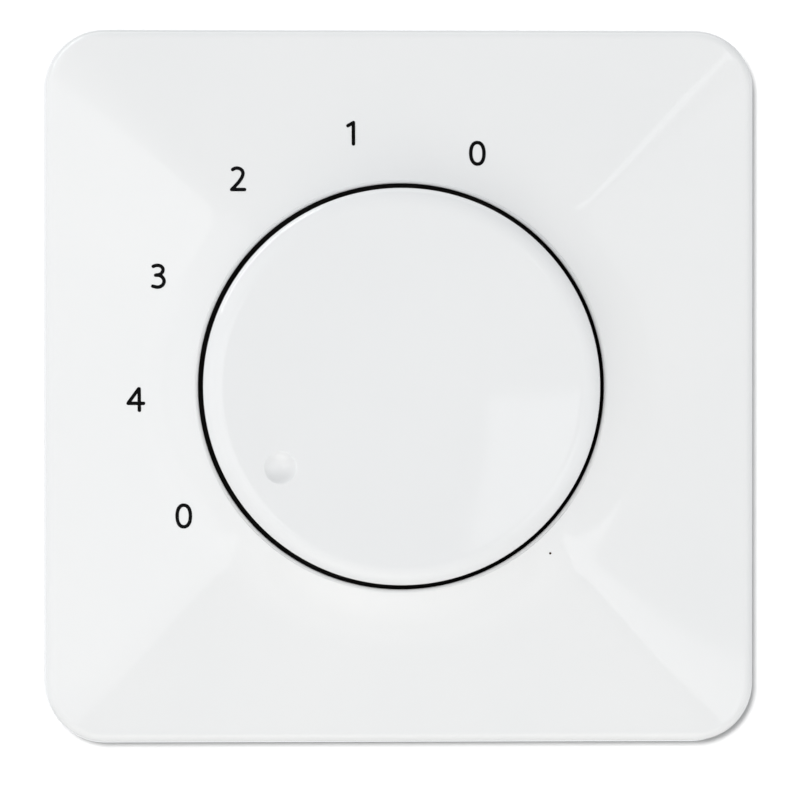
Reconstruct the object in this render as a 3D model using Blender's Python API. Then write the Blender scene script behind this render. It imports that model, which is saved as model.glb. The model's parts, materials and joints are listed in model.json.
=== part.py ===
"""Flush-mounted rotary speed controller: a four-step fan switch behind a square plate with a disc knob.

All sizes are in metres. The pieces are drawn as the thing lies on a bench, +Z out of the wall, +X to the
right and +Y up the wall, with the spindle on the Z axis and the wall plane at Z = 0. Two empties stand it
up, so that it faces -Y: one carries the fixed pieces, the other is the spindle's axis and carries what
turns.
"""

import math

import bmesh
import bpy
from mathutils import Matrix, Vector

# Fits
SEAT = 0.0003  # gap between pieces that touch
OVERRUN = 0.001  # how far a cutter runs past the faces that it opens

# Mesh fineness, in spans
HALF_SIDE_SPANS = 4
CORNER_SPANS = 8
PLATE_STEPS = 4 * (2 * HALF_SIDE_SPANS + CORNER_SPANS)
ROUND_STEPS = 36
SMALL_STEPS = 16
ROUNDING_SPANS = 3
FACET_SPANS = 4
COLLAR_SPANS = 5
SHARP_ANGLE = math.radians(35)  # a bend from here on is shaded as an edge

# Knob
KNOB_RADIUS = 0.0226
KNOB_SKIN = 0.0018
KNOB_WALL = 0.0016
KNOB_EDGE_ROUND = 0.0014
KNOB_CLEARANCE = 0.00055  # the open ring between the knob and the plate
KNOB_HUB_WALL = 0.0023
KNOB_HUB_LENGTH = 0.0038
KNOB_HUB_SKIN = 0.0009
KNOB_RIBS = 6
KNOB_RIB_THICKNESS = 0.0012
RIB_CLEARANCE = 0.0005  # between the knob's ribs and the nut
SKIRT_CLEARANCE = 0.001  # between the knob's skirt and the floor of the well
DIMPLE_RADIUS = 0.00185
DIMPLE_DEPTH = 0.0007
DIMPLE_INSET = 0.006  # from the knob's edge to the middle of the dimple
DIMPLE_ANGLE = math.radians(213.5)

# Knob spring
KNOB_SPRING_THICKNESS = 0.0004
KNOB_SPRING_WIDTH = 0.0032

# Cover plate
SIDE_BORDER = 0.01765  # from the aperture to the plate's left and right sides
TOP_BORDER = 0.01785  # from the aperture to the plate's upper and lower sides
PLATE_CORNER = 0.007
PLATE_WALL = 0.002
PLATE_EDGE_TOP = 0.0062  # out of the wall, where a facet meets the rounded edge
PLATE_EDGE_ROUND = 0.0011
PLATE_DRAFT = 0.0003
FACET_RISE = 0.0012  # from the edge to the foot of the collar
HIP_SHARPNESS_SHARE = 9.0
COLLAR_WIDTH = 0.0078
COLLAR_RISE = 0.0034  # from the plate's edge to the aperture
COLLAR_CURVE_SHARE = 3.0
COLLAR_ROUND = 0.0005
WELL_WALL = 0.0016
WELL_FLOOR = 0.002
PAD_OVER_NECK = 0.004
PAD_HEIGHT = 0.0005

# Switch: steps and spindle
SPEEDS = 4
STEP_ANGLE = math.tau / 13
TRAVEL = (SPEEDS + 1) * STEP_ANGLE
SPINDLE_RADIUS = 0.003
SPINDLE_TIP_BEVEL = 0.0004
SPINDLE_FLAT = 0.0015  # from the axis

# Neck, nut and washer
NECK_WALL = 0.0017
NUT_WALL = 0.002
NUT_SIDES = 6
NUT_THICKNESS = 0.0021
WASHER_WIDTH = 0.003
WASHER_THICKNESS = 0.0007
WASHER_TEETH = 12
WASHER_TOOTH = 0.0009

# Mounting plate
MOUNT_INSET = 0.0055  # from the cover plate's sides
MOUNT_CORNER = 0.014
MOUNT_THICKNESS = 0.0012
SLOT_CLEARANCE = 0.0005
SLOT_HALF_ANGLE = math.radians(11)
GANG_HOLE_RADIUS = 0.0016
GANG_HOLE_INSET = 0.0056  # from the plate's corner

# Rotor
SHOULDER_WIDTH = 0.0022
WHEEL_RADIUS = 0.012
WHEEL_NOTCH = 0.0009
WHEEL_THICKNESS = 0.0027
WHEEL_POINTS_A_NOTCH = 6
LUG_INSET = 0.0006  # from the bottoms of the notches
LUG_HALF_ANGLE = math.radians(8)
LUG_DEPTH = 0.0019
CARRIER_THICKNESS = 0.002
PILOT_RADIUS = 0.002
PILOT_ENTRY = 0.0013  # how deep it runs into the base's floor
PEG_RADIUS = 0.0007
PEG_INSET = 0.0016  # from the edge of the bridge's ring
PEG_DEPTH = 0.001

# Detent spring
DETENT_ANGLE = math.pi / 2
LEAF_THICKNESS = 0.0004
LEAF_STANDOFF = 0.0023  # from the wheel's edge to the leaf's middle
LEAF_GRIP = 0.0016  # how much of each end is in the housing
LEAF_NOSE_HALF_WIDTH = 0.0021
LEAF_NOSE_FLAT_SHARE = 0.25

# Switch housing
CAP_FRONT = 0.002
LUG_CLEARANCE = 0.0005  # between the stop lug and the split of the housing
LEAF_ROOM = 0.0022  # from the leaf's middle to the wall of the cavity
HOUSING_WALL = 0.0055
HOUSING_CHAMFER = 0.004
STOP_STANDOFF = 0.0026  # from the rotor's shoulder to the stops
STOP_WIDTH_ANGLE = math.radians(13)
BASE_FLOOR = 0.002
BASE_BACK = 0.0012

# Contacts
BRIDGE_THICKNESS = 0.0004
BRIDGE_RING_RADIUS = 0.0064
BRIDGE_ARM_WIDTH = 0.0024
WIPER_DROP = 0.0018  # from the bridge's ring down to the toe on a speed contact
TOE_LENGTH = 0.0012
TOE_LIFT = 0.0006
CONTACT_THICKNESS = 0.0008
CONTACT_WIDTH = 0.0026
COMMON_WIDTH = 0.0036
COMMON_TOUCH = 0.001  # from the bridge's ring out to the toe on the common contact
COMMON_BEYOND_TOUCH = 0.0014
CONTACT_SPACING = 0.0007  # between the common contact and the domes
DOME_RADIUS = 0.0015
DOME_HEIGHT = 0.0005

# Terminals
TERMINAL_RIB = 0.0011
TERMINAL_WIDTH = 0.0076
TERMINAL_HEIGHT = 0.008
TERMINAL_DEPTH = 0.009
CLAMP_HEIGHT = 0.0058
CLAMP_DEPTH = 0.006
CLAMP_WALL = 0.001
WIRE_HOLE_RADIUS = 0.0018
TERMINAL_SCREW_RADIUS = 0.0015
TERMINAL_SCREW_HEAD_RADIUS = 0.0026
TERMINAL_SCREW_HEAD = 0.0016
TERMINAL_SCREW_LENGTH = 0.0024

# Other screws
DRIVE_SLOT_WIDTH = 0.0007
DRIVE_SLOT_DEPTH = 0.0007
HOUSING_SCREW_INSET = 0.0046  # from the housing's sides
HOUSING_SCREW_RADIUS = 0.0012
HOUSING_SCREW_HEAD_RADIUS = 0.0022
HOUSING_SCREW_HEAD = 0.0015
HOUSING_SCREW_SUNK = 0.0006  # from the cap's front to the head
HOUSING_SCREW_LENGTH = 0.012
PLATE_SCREW_RADIUS = 0.0012
PLATE_SCREW_HEAD_RADIUS = 0.0024
PLATE_SCREW_LENGTH = 0.0065
BOX_SCREW_RADIUS = 0.0016
BOX_SCREW_OVERHANG = 0.0015  # of the head over the shank
BOX_SCREW_HEAD = 0.002
BOX_SCREW_LENGTH = 0.018
BOX_SCREW_TO_WELL = 0.00215  # from the head to the cover's well

# Radii and widths that follow from the sizes above
APERTURE_RADIUS = KNOB_RADIUS + KNOB_CLEARANCE
COLLAR_FOOT = APERTURE_RADIUS + COLLAR_WIDTH
PLATE_WIDTH = 2 * (APERTURE_RADIUS + SIDE_BORDER)
PLATE_HEIGHT = 2 * (APERTURE_RADIUS + TOP_BORDER)
MOUNT_WIDTH = PLATE_WIDTH - 2 * MOUNT_INSET
MOUNT_HEIGHT = PLATE_HEIGHT - 2 * MOUNT_INSET
BOX_SCREW_HEAD_RADIUS = BOX_SCREW_RADIUS + BOX_SCREW_OVERHANG
BOX_SCREW_OUT = APERTURE_RADIUS + WELL_WALL + BOX_SCREW_TO_WELL + BOX_SCREW_HEAD_RADIUS
SLOT_WIDTH = 2 * (BOX_SCREW_RADIUS + SLOT_CLEARANCE)
DIMPLE_OUT = KNOB_RADIUS - DIMPLE_INSET
SPINDLE_BORE = SPINDLE_RADIUS + SEAT
KNOB_HUB_RADIUS = SPINDLE_BORE + KNOB_HUB_WALL
NECK_RADIUS = SPINDLE_BORE + NECK_WALL
NUT_ACROSS_FLATS = 2 * (NECK_RADIUS + NUT_WALL)
SHOULDER_RADIUS = SPINDLE_RADIUS + SHOULDER_WIDTH
LUG_OUTER_RADIUS = WHEEL_RADIUS - WHEEL_NOTCH - LUG_INSET
STOP_INNER_RADIUS = SHOULDER_RADIUS + STOP_STANDOFF
LEAF_LINE = WHEEL_RADIUS + LEAF_STANDOFF
LEAF_INNER = LEAF_LINE - LEAF_THICKNESS / 2 - SEAT
LEAF_OUTER = LEAF_LINE + LEAF_THICKNESS / 2 + SEAT
CAVITY_RADIUS = LEAF_LINE + LEAF_ROOM
LEAF_HALF_LENGTH = math.sqrt(CAVITY_RADIUS**2 - LEAF_INNER**2) + LEAF_GRIP
PEG_OUT = BRIDGE_RING_RADIUS - PEG_INSET
COMMON_TOUCH_OUT = BRIDGE_RING_RADIUS + COMMON_TOUCH
COMMON_OUTER_RADIUS = COMMON_TOUCH_OUT + COMMON_BEYOND_TOUCH
COMMON_INNER_RADIUS = COMMON_OUTER_RADIUS - COMMON_WIDTH
CONTACT_OUT = COMMON_OUTER_RADIUS + CONTACT_SPACING + DOME_RADIUS
CARRIER_RADIUS = CONTACT_OUT + DOME_RADIUS
HOUSING_HALF = CAVITY_RADIUS + HOUSING_WALL
HOUSING_SCREW_OUT = HOUSING_HALF - HOUSING_SCREW_INSET
PLATE_SCREW_OUT = CAVITY_RADIUS + HOUSING_WALL / 2
TERMINAL_PITCH = TERMINAL_WIDTH + TERMINAL_RIB
CLAMP_INNER = HOUSING_HALF - TERMINAL_DEPTH + SEAT
CLAMP_OUTER = CLAMP_INNER + CLAMP_DEPTH
TAB_INNER = CLAMP_INNER + CLAMP_WALL + SEAT
TAB_OUTER = TAB_INNER + CONTACT_THICKNESS
LUG_REST_ANGLE = DETENT_ANGLE + TRAVEL / 2
CONTACT_REST_ANGLE = -math.pi / 2 + TRAVEL / 2

# Levels behind the wall, from the front of the switch to its back
CAP_TOP = -SEAT
CAP_CEILING = CAP_TOP - CAP_FRONT
WHEEL_TOP = CAP_CEILING - 2 * SEAT
WHEEL_BOTTOM = WHEEL_TOP - WHEEL_THICKNESS
LUG_BOTTOM = WHEEL_BOTTOM - LUG_DEPTH
CAP_BOTTOM = LUG_BOTTOM - LUG_CLEARANCE
BASE_TOP = CAP_BOTTOM - SEAT
CARRIER_TOP = BASE_TOP - SEAT
CARRIER_BOTTOM = CARRIER_TOP - CARRIER_THICKNESS
BRIDGE_TOP = CARRIER_BOTTOM - SEAT
BRIDGE_BOTTOM = BRIDGE_TOP - BRIDGE_THICKNESS
DOME_TOP = BRIDGE_BOTTOM - WIPER_DROP - SEAT
CONTACT_TOP = DOME_TOP - DOME_HEIGHT
CONTACT_BOTTOM = CONTACT_TOP - CONTACT_THICKNESS
BASE_FLOOR_TOP = CONTACT_BOTTOM - SEAT
CHAMBER_TOP = BASE_FLOOR_TOP - BASE_FLOOR
CHAMBER_BOTTOM = CHAMBER_TOP - TERMINAL_HEIGHT
BASE_BOTTOM = CHAMBER_BOTTOM - BASE_BACK
CLAMP_MIDDLE = CHAMBER_TOP - TERMINAL_HEIGHT / 2

# Levels in front of the wall, from the mounting plate to the knob's face
PAD_BOTTOM = MOUNT_THICKNESS + SEAT
FLOOR_BOTTOM = PAD_BOTTOM + PAD_HEIGHT
FLOOR_TOP = FLOOR_BOTTOM + WELL_FLOOR
WASHER_BOTTOM = FLOOR_TOP + SEAT
WASHER_TOP = WASHER_BOTTOM + WASHER_THICKNESS
NUT_BOTTOM = WASHER_TOP + SEAT
NECK_TOP = NUT_BOTTOM + NUT_THICKNESS
HUB_BOTTOM = NECK_TOP + SEAT
RIB_BOTTOM = HUB_BOTTOM + RIB_CLEARANCE
KNOB_BOTTOM = FLOOR_TOP + SKIRT_CLEARANCE
KNOB_BORE_TOP = HUB_BOTTOM + KNOB_HUB_LENGTH
SPINDLE_TOP = KNOB_BORE_TOP - SEAT
KNOB_TOP = KNOB_BORE_TOP + KNOB_HUB_SKIN
KNOB_CEILING = KNOB_TOP - KNOB_SKIN


def clear_scene():
    for item in list(bpy.data.objects):
        bpy.data.objects.remove(item, do_unlink=True)


def add_empty(name, parent=None):
    empty = bpy.data.objects.new(name, None)
    empty.parent = parent
    bpy.context.scene.collection.objects.link(empty)
    return empty


def material(name, colour, roughness, metallic=0.0):
    """A Principled material of one colour."""
    made = bpy.data.materials.new(name)
    made.use_nodes = True
    shader = made.node_tree.nodes["Principled BSDF"]
    shader.inputs["Base Color"].default_value = (*colour, 1.0)
    shader.inputs["Roughness"].default_value = roughness
    shader.inputs["Metallic"].default_value = metallic
    made.diffuse_color = (*colour, 1.0)
    return made


# Outlines, each a list of (x, y)
def arc(radius, start, end, steps, centre=(0, 0)):
    """Points along an arc, both ends included."""
    turns = [start + (end - start) * i / steps for i in range(steps + 1)]
    return [(centre[0] + radius * math.cos(t), centre[1] + radius * math.sin(t)) for t in turns]


def circle(radius, steps, centre=(0, 0)):
    return arc(radius, 0, math.tau, steps, centre)[:-1]


def rectangle(low, high):
    return [(low[0], low[1]), (high[0], low[1]), (high[0], high[1]), (low[0], high[1])]


def rounded_rectangle(width, height, corner, steps):
    """Corner arcs of so many spans each, starting at the right-hand side's upper end."""
    outline = []
    for quarter in range(4):
        start = quarter * math.pi / 2
        side_x = 1 if quarter in (0, 3) else -1
        side_y = 1 if quarter in (0, 1) else -1
        centre = (side_x * (width / 2 - corner), side_y * (height / 2 - corner))
        outline += arc(corner, start, start + math.pi / 2, steps, centre)
    return outline


def sector(inner, outer, start, end, steps):
    """A piece of a ring between two angles."""
    return arc(outer, start, end, steps) + arc(inner, end, start, steps)


def polygon_with_flats(across_flats, sides, steps):
    """A regular polygon, drawn with as many points as a circle of so many steps."""
    outline = []
    for i in range(steps):
        angle = math.tau * i / steps
        off_flat = (angle + math.pi / sides) % (math.tau / sides) - math.pi / sides
        radius = across_flats / 2 / math.cos(off_flat)
        outline.append((radius * math.cos(angle), radius * math.sin(angle)))
    return outline


def level(outline, height):
    return [Vector((x, y, height)) for x, y in outline]


# Solids
def add_object(name, mesh, carrier, look=None):
    made = bpy.data.objects.new(name, mesh)
    made.parent = carrier
    bpy.context.scene.collection.objects.link(made)
    if look is not None:
        mesh.materials.append(look)
        mesh.shade_smooth()
        mesh.set_sharp_from_angle(angle=SHARP_ANGLE)
    return made


def loft(name, loops, carrier, look=None, ring=False):
    """One closed body through loops of equally many points: capped at both ends, or joined into a ring."""
    work = bmesh.new()
    rows = [[work.verts.new(point) for point in loop] for loop in loops]
    pairs = list(zip(rows, rows[1:]))
    if ring:
        pairs.append((rows[-1], rows[0]))
    else:
        work.faces.new(rows[0])
        work.faces.new(rows[-1])
    for low, high in pairs:
        for i in range(len(low)):
            j = (i + 1) % len(low)
            work.faces.new((low[i], low[j], high[j], high[i]))
    bmesh.ops.recalc_face_normals(work, faces=work.faces)
    mesh = bpy.data.meshes.new(name)
    work.to_mesh(mesh)
    work.free()
    return add_object(name, mesh, carrier, look)


def prism(name, outline, low, high, carrier, look=None):
    return loft(name, [level(outline, low), level(outline, high)], carrier, look)


def ring_prism(name, outer, inner, low, high, carrier, look=None):
    """A flat ring between two outlines of equally many points."""
    loops = [level(outer, low), level(outer, high), level(inner, high), level(inner, low)]
    return loft(name, loops, carrier, look, ring=True)


def turned(name, profile, steps, carrier, look=None, centre=(0, 0)):
    """A profile of (radius, height) turned about a line along Z, with flat ends."""
    return loft(name, [level(circle(r, steps, centre), z) for r, z in profile], carrier, look)


def block(name, low, high, carrier, look=None):
    return prism(name, rectangle(low, high), low[2], high[2], carrier, look)


def combine(target, tools, operation):
    """Join hidden solids to a piece, or cut them out of it."""
    group = bpy.data.collections.new(f"{target.name}.{operation.lower()}")
    bpy.context.scene.collection.children.link(group)
    for tool in tools:
        bpy.context.scene.collection.objects.unlink(tool)
        group.objects.link(tool)
        tool.hide_render = True
        tool.display_type = "WIRE"
    change = target.modifiers.new(operation.title(), "BOOLEAN")
    change.operation = operation
    change.operand_type = "COLLECTION"
    change.collection = group
    change.solver = "EXACT"
    return target


def cut(target, tools):
    return combine(target, tools, "DIFFERENCE")


def join(target, tools):
    return combine(target, tools, "UNION")


def turn(item, angle):
    """Turn a piece's own mesh about the spindle's axis."""
    item.data.transform(Matrix.Rotation(angle, 4, "Z"))
    return item


def finished_mesh(item):
    """The mesh that a piece's modifiers give, for copies to share. The piece and its tools go."""
    bpy.context.view_layer.update()
    mesh = bpy.data.meshes.new_from_object(item.evaluated_get(bpy.context.evaluated_depsgraph_get()))
    for change in item.modifiers:
        for tool in list(change.collection.objects):
            bpy.data.objects.remove(tool, do_unlink=True)
        bpy.data.collections.remove(change.collection)
    mesh.name = item.name
    bpy.data.objects.remove(item, do_unlink=True)
    return mesh


def place_copy(name, mesh, carrier, place, rotation=(0, 0, 0)):
    made = bpy.data.objects.new(name, mesh)
    made.parent = carrier
    made.location = place
    made.rotation_euler = rotation
    bpy.context.scene.collection.objects.link(made)
    return made


# Cover plate
def plate_outline(inset):
    """The plate's outline moved inwards, in PLATE_STEPS points, most of them at the corners."""
    half_x = PLATE_WIDTH / 2 - inset
    half_y = PLATE_HEIGHT / 2 - inset
    corner = PLATE_CORNER - inset
    side = [(half_x, (half_y - corner) * i / HALF_SIDE_SPANS) for i in range(HALF_SIDE_SPANS)]
    bend = arc(corner, 0, math.pi / 2, CORNER_SPANS, (half_x - corner, half_y - corner))
    end = [((half_x - corner) * i / HALF_SIDE_SPANS, half_y) for i in reversed(range(HALF_SIDE_SPANS))]
    quarter = side + bend + end
    left = [(-x, y) for x, y in quarter[-2::-1]]
    half = quarter + left
    return half + [(-x, -y) for x, y in half[1:-1]]


def facet_height(x, y):
    """Height of the plate's face: four shallow facets, soft hips and a lip that climbs to the aperture."""
    half = PLATE_HEIGHT / 2
    power = HIP_SHARPNESS_SHARE
    across = (abs(x / half) ** power + abs(y / half) ** power) ** (1 / power) * half
    facet = PLATE_EDGE_TOP + FACET_RISE * (half - across) / (half - COLLAR_FOOT)
    near = (COLLAR_FOOT - math.hypot(x, y)) / (COLLAR_FOOT - APERTURE_RADIUS)
    lip = min(max(near, 0), 1) ** COLLAR_CURVE_SHARE
    return facet + (PLATE_EDGE_TOP + COLLAR_RISE - facet) * lip


def face_loops(outer, inner, drop, spans):
    """Loops from one outline to another, so far below the plate's face."""
    loops = []
    for i in range(spans + 1):
        share = i / spans
        outline = [(a + (c - a) * share, b + (d - b) * share) for (a, b), (c, d) in zip(outer, inner)]
        loops.append([Vector((x, y, facet_height(x, y) - drop)) for x, y in outline])
    return loops


def edge_loops(face_edge):
    """The rounded edge between the plate's side and its face."""
    loops = []
    for i in range(ROUNDING_SPANS):
        angle = math.pi / 2 * i / ROUNDING_SPANS
        outline = plate_outline(PLATE_DRAFT + PLATE_EDGE_ROUND * (1 - math.cos(angle)))
        sunk = PLATE_EDGE_ROUND * (1 - math.sin(angle))
        pairs = zip(outline, face_edge)
        loops.append([Vector((x, y, facet_height(*edge) - sunk)) for (x, y), edge in pairs])
    return loops


def aperture_loops(lip_radius):
    """The rounded inner edge of the collar."""
    top = facet_height(lip_radius, 0)
    loops = []
    for i in range(1, ROUNDING_SPANS + 1):
        angle = math.pi / 2 * i / ROUNDING_SPANS
        radius = lip_radius - COLLAR_ROUND * math.sin(angle)
        loops.append(level(circle(radius, PLATE_STEPS), top - COLLAR_ROUND * (1 - math.cos(angle))))
    return loops


def build_cover_plate(carrier, look):
    face_edge = plate_outline(PLATE_DRAFT + PLATE_EDGE_ROUND)
    foot = circle(COLLAR_FOOT, PLATE_STEPS)
    lip_radius = APERTURE_RADIUS + COLLAR_ROUND
    bore = circle(NECK_RADIUS + SEAT, PLATE_STEPS)
    pad = circle(NECK_RADIUS + PAD_OVER_NECK, PLATE_STEPS)
    well = circle(APERTURE_RADIUS, PLATE_STEPS)
    well_outside = circle(APERTURE_RADIUS + WELL_WALL, PLATE_STEPS)

    loops = [level(plate_outline(0), 0)]
    loops += edge_loops(face_edge)
    loops += face_loops(face_edge, foot, 0, FACET_SPANS)
    loops += face_loops(foot, circle(lip_radius, PLATE_STEPS), 0, COLLAR_SPANS)[1:]
    loops += aperture_loops(lip_radius)
    loops += [level(well, FLOOR_TOP), level(bore, FLOOR_TOP)]
    loops += [level(bore, PAD_BOTTOM), level(pad, PAD_BOTTOM), level(pad, FLOOR_BOTTOM)]
    loops.append(level(well_outside, FLOOR_BOTTOM))
    inside = face_loops(plate_outline(PLATE_WALL + PLATE_DRAFT), well_outside, PLATE_WALL, FACET_SPANS)
    loops += reversed(inside)
    loops.append(level(plate_outline(PLATE_WALL), 0))
    return loft("cover_plate", loops, carrier, look, ring=True)


# Knob and its spring
def d_outline(radius, flat, steps):
    """A circle cut off by a flat on its +X side."""
    half_angle = math.acos(flat / radius)
    return arc(radius, half_angle, math.tau - half_angle, steps)


def build_knob(carrier, look):
    side_top = KNOB_TOP - KNOB_EDGE_ROUND
    profile = [(KNOB_RADIUS, KNOB_BOTTOM)]
    for i in range(ROUNDING_SPANS + 2):
        angle = math.pi / 2 * i / (ROUNDING_SPANS + 1)
        radius = KNOB_RADIUS - KNOB_EDGE_ROUND * (1 - math.cos(angle))
        profile.append((radius, side_top + KNOB_EDGE_ROUND * math.sin(angle)))
    knob = turned("knob", profile, PLATE_STEPS, carrier, look)

    skirt_inside = KNOB_RADIUS - KNOB_WALL
    below = KNOB_BOTTOM - OVERRUN
    tools = [
        prism("knob_hollow", circle(skirt_inside, PLATE_STEPS), below, HUB_BOTTOM, carrier),
        ring_prism(
            "knob_hollow_round_hub",
            circle(skirt_inside, PLATE_STEPS),
            circle(KNOB_HUB_RADIUS, PLATE_STEPS),
            HUB_BOTTOM - OVERRUN,
            RIB_BOTTOM,
            carrier,
        ),
    ]
    for i in range(KNOB_RIBS):
        middle = math.tau * i / KNOB_RIBS
        tools.append(rib_pocket(middle, skirt_inside, carrier))
    bore_flat = SPINDLE_FLAT + KNOB_SPRING_THICKNESS + 2 * SEAT
    bore = d_outline(SPINDLE_BORE, bore_flat, ROUND_STEPS)
    tools.append(turn(prism("knob_bore", bore, below, KNOB_BORE_TOP, carrier), DIMPLE_ANGLE))
    tools.append(dimple_ball(carrier))
    return cut(knob, tools)


def rib_pocket(middle, skirt_inside, carrier):
    """The hollow between two of the knob's ribs."""
    half = math.pi / KNOB_RIBS
    outer_half = half - math.asin(KNOB_RIB_THICKNESS / 2 / skirt_inside)
    inner_half = half - math.asin(KNOB_RIB_THICKNESS / 2 / KNOB_HUB_RADIUS)
    spans = PLATE_STEPS // KNOB_RIBS
    outline = arc(skirt_inside, middle - outer_half, middle + outer_half, spans)
    outline += arc(KNOB_HUB_RADIUS, middle + inner_half, middle - inner_half, spans // 2)
    return prism("knob_pocket", outline, RIB_BOTTOM - OVERRUN, KNOB_CEILING, carrier)


def dimple_ball(carrier):
    """The ball that leaves the round dimple in the knob's face."""
    radius = (DIMPLE_RADIUS**2 + DIMPLE_DEPTH**2) / (2 * DIMPLE_DEPTH)
    centre_height = KNOB_TOP + radius - DIMPLE_DEPTH
    spans = ROUND_STEPS // 2
    angles = [math.pi * (i + 1 / 2) / spans for i in range(spans)]
    profile = [(radius * math.sin(a), centre_height - radius * math.cos(a)) for a in angles]
    place = (DIMPLE_OUT * math.cos(DIMPLE_ANGLE), DIMPLE_OUT * math.sin(DIMPLE_ANGLE))
    return turned("dimple_ball", profile, ROUND_STEPS, carrier, centre=place)


def build_knob_spring(carrier, look):
    inner = SPINDLE_FLAT + SEAT
    half = KNOB_SPRING_WIDTH / 2
    low = (inner, -half, HUB_BOTTOM + SEAT)
    high = (inner + KNOB_SPRING_THICKNESS, half, SPINDLE_TOP)
    return turn(block("knob_spring", low, high, carrier, look), DIMPLE_ANGLE)


# Nut and washer on the neck
def build_shaft_nut(carrier, look):
    outer = polygon_with_flats(NUT_ACROSS_FLATS, NUT_SIDES, ROUND_STEPS)
    bore = circle(NECK_RADIUS + SEAT, ROUND_STEPS)
    return ring_prism("shaft_nut", outer, bore, NUT_BOTTOM, NECK_TOP, carrier, look)


def build_lock_washer(carrier, look):
    steps = 4 * WASHER_TEETH
    radius = NECK_RADIUS + WASHER_WIDTH
    outer = []
    for i, (x, y) in enumerate(circle(radius, steps)):
        share = 1 if i % 4 < 2 else 1 - WASHER_TOOTH / radius
        outer.append((x * share, y * share))
    bore = circle(NECK_RADIUS + SEAT, steps)
    return ring_prism("lock_washer", outer, bore, WASHER_BOTTOM, WASHER_TOP, carrier, look)


# Mounting plate
def kidney(radius, width, middle, half_angle, steps):
    """A slot along an arc, with round ends."""
    start, end = middle - half_angle, middle + half_angle
    half = width / 2
    start_centre = (radius * math.cos(start), radius * math.sin(start))
    end_centre = (radius * math.cos(end), radius * math.sin(end))
    outline = arc(radius + half, start, end, steps)
    outline += arc(half, end, end + math.pi, steps, end_centre)[1:-1]
    outline += arc(radius - half, end, start, steps)
    outline += arc(half, start + math.pi, start + math.tau, steps, start_centre)[1:-1]
    return outline


def build_mounting_plate(carrier, look):
    outline = rounded_rectangle(MOUNT_WIDTH, MOUNT_HEIGHT, MOUNT_CORNER, SMALL_STEPS // 2)
    plate = prism("mounting_plate", outline, 0, MOUNT_THICKNESS, carrier, look)
    low, high = -OVERRUN, MOUNT_THICKNESS + OVERRUN
    tools = [prism("neck_hole", circle(NECK_RADIUS + SEAT, ROUND_STEPS), low, high, carrier)]
    diagonal = math.hypot(MOUNT_WIDTH / 2 - MOUNT_CORNER, MOUNT_HEIGHT / 2 - MOUNT_CORNER)
    gang_hole_out = diagonal + MOUNT_CORNER - GANG_HOLE_INSET
    for i in range(4):
        side = math.pi / 2 * i
        slot = kidney(BOX_SCREW_OUT, SLOT_WIDTH, side, SLOT_HALF_ANGLE, SMALL_STEPS // 2)
        tools.append(prism("box_slot", slot, low, high, carrier))
        corner = side + math.pi / 4
        place = (gang_hole_out * math.cos(corner), gang_hole_out * math.sin(corner))
        tools.append(prism("gang_hole", circle(GANG_HOLE_RADIUS, SMALL_STEPS, place), low, high, carrier))
    wide, narrow = PLATE_SCREW_HEAD_RADIUS + SEAT, PLATE_SCREW_RADIUS + SEAT
    sink = [(narrow, low), (narrow, 0), (wide, MOUNT_THICKNESS), (wide, high)]
    for x in (-PLATE_SCREW_OUT, PLATE_SCREW_OUT):
        tools.append(turned("countersink", sink, SMALL_STEPS, carrier, centre=(x, 0)))
    return cut(plate, tools)


# Switch housing
def housing_outline():
    """A square with its corners cut off, to clear a round wall box."""
    half, cut_off = HOUSING_HALF, HOUSING_HALF - HOUSING_CHAMFER
    points = [(half, cut_off), (cut_off, half)]
    outline = []
    for quarter in range(4):
        turned_by = Matrix.Rotation(quarter * math.pi / 2, 2)
        outline += [tuple(turned_by @ Vector(point)) for point in points]
    return outline


def corner_places():
    return [(x * HOUSING_SCREW_OUT, y * HOUSING_SCREW_OUT) for x in (-1, 1) for y in (-1, 1)]


def build_switch_cap(carrier, look):
    cap = prism("switch_cap", housing_outline(), CAP_BOTTOM, CAP_TOP, carrier, look)
    neck = [(NECK_RADIUS, CAP_TOP - OVERRUN), (NECK_RADIUS, NECK_TOP)]
    join(cap, [turned("neck", neck, ROUND_STEPS, carrier)])

    below, above = CAP_BOTTOM - OVERRUN, NECK_TOP + OVERRUN
    head_seat = CAP_TOP - HOUSING_SCREW_SUNK - HOUSING_SCREW_HEAD - SEAT
    tools = [
        prism("cap_cavity", circle(CAVITY_RADIUS, ROUND_STEPS), below, CAP_CEILING, carrier),
        prism("spindle_bore", circle(SPINDLE_BORE, ROUND_STEPS), below, above, carrier),
        turn(leaf_slot(below, carrier), DETENT_ANGLE),
    ]
    for place in corner_places():
        shank = circle(HOUSING_SCREW_RADIUS + SEAT, SMALL_STEPS, place)
        head = circle(HOUSING_SCREW_HEAD_RADIUS + SEAT, SMALL_STEPS, place)
        tools.append(prism("corner_hole", shank, below, CAP_TOP + OVERRUN, carrier))
        tools.append(prism("head_pocket", head, head_seat, CAP_TOP + OVERRUN, carrier))
    screw_end = MOUNT_THICKNESS - PLATE_SCREW_LENGTH - SEAT
    for x in (-PLATE_SCREW_OUT, PLATE_SCREW_OUT):
        hole = circle(PLATE_SCREW_RADIUS + SEAT, SMALL_STEPS, (x, 0))
        tools.append(prism("plate_screw_hole", hole, screw_end, CAP_TOP + OVERRUN, carrier))
    cut(cap, tools)

    free = LUG_HALF_ANGLE + SEAT / STOP_INNER_RADIUS
    starts = (LUG_REST_ANGLE + free, LUG_REST_ANGLE - TRAVEL - free - STOP_WIDTH_ANGLE)
    outer = CAVITY_RADIUS + OVERRUN
    stops = []
    for start in starts:
        outline = sector(STOP_INNER_RADIUS, outer, start, start + STOP_WIDTH_ANGLE, ROUNDING_SPANS)
        stops.append(prism("stop", outline, CAP_BOTTOM, WHEEL_BOTTOM - SEAT, carrier))
    return join(cap, stops)


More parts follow.
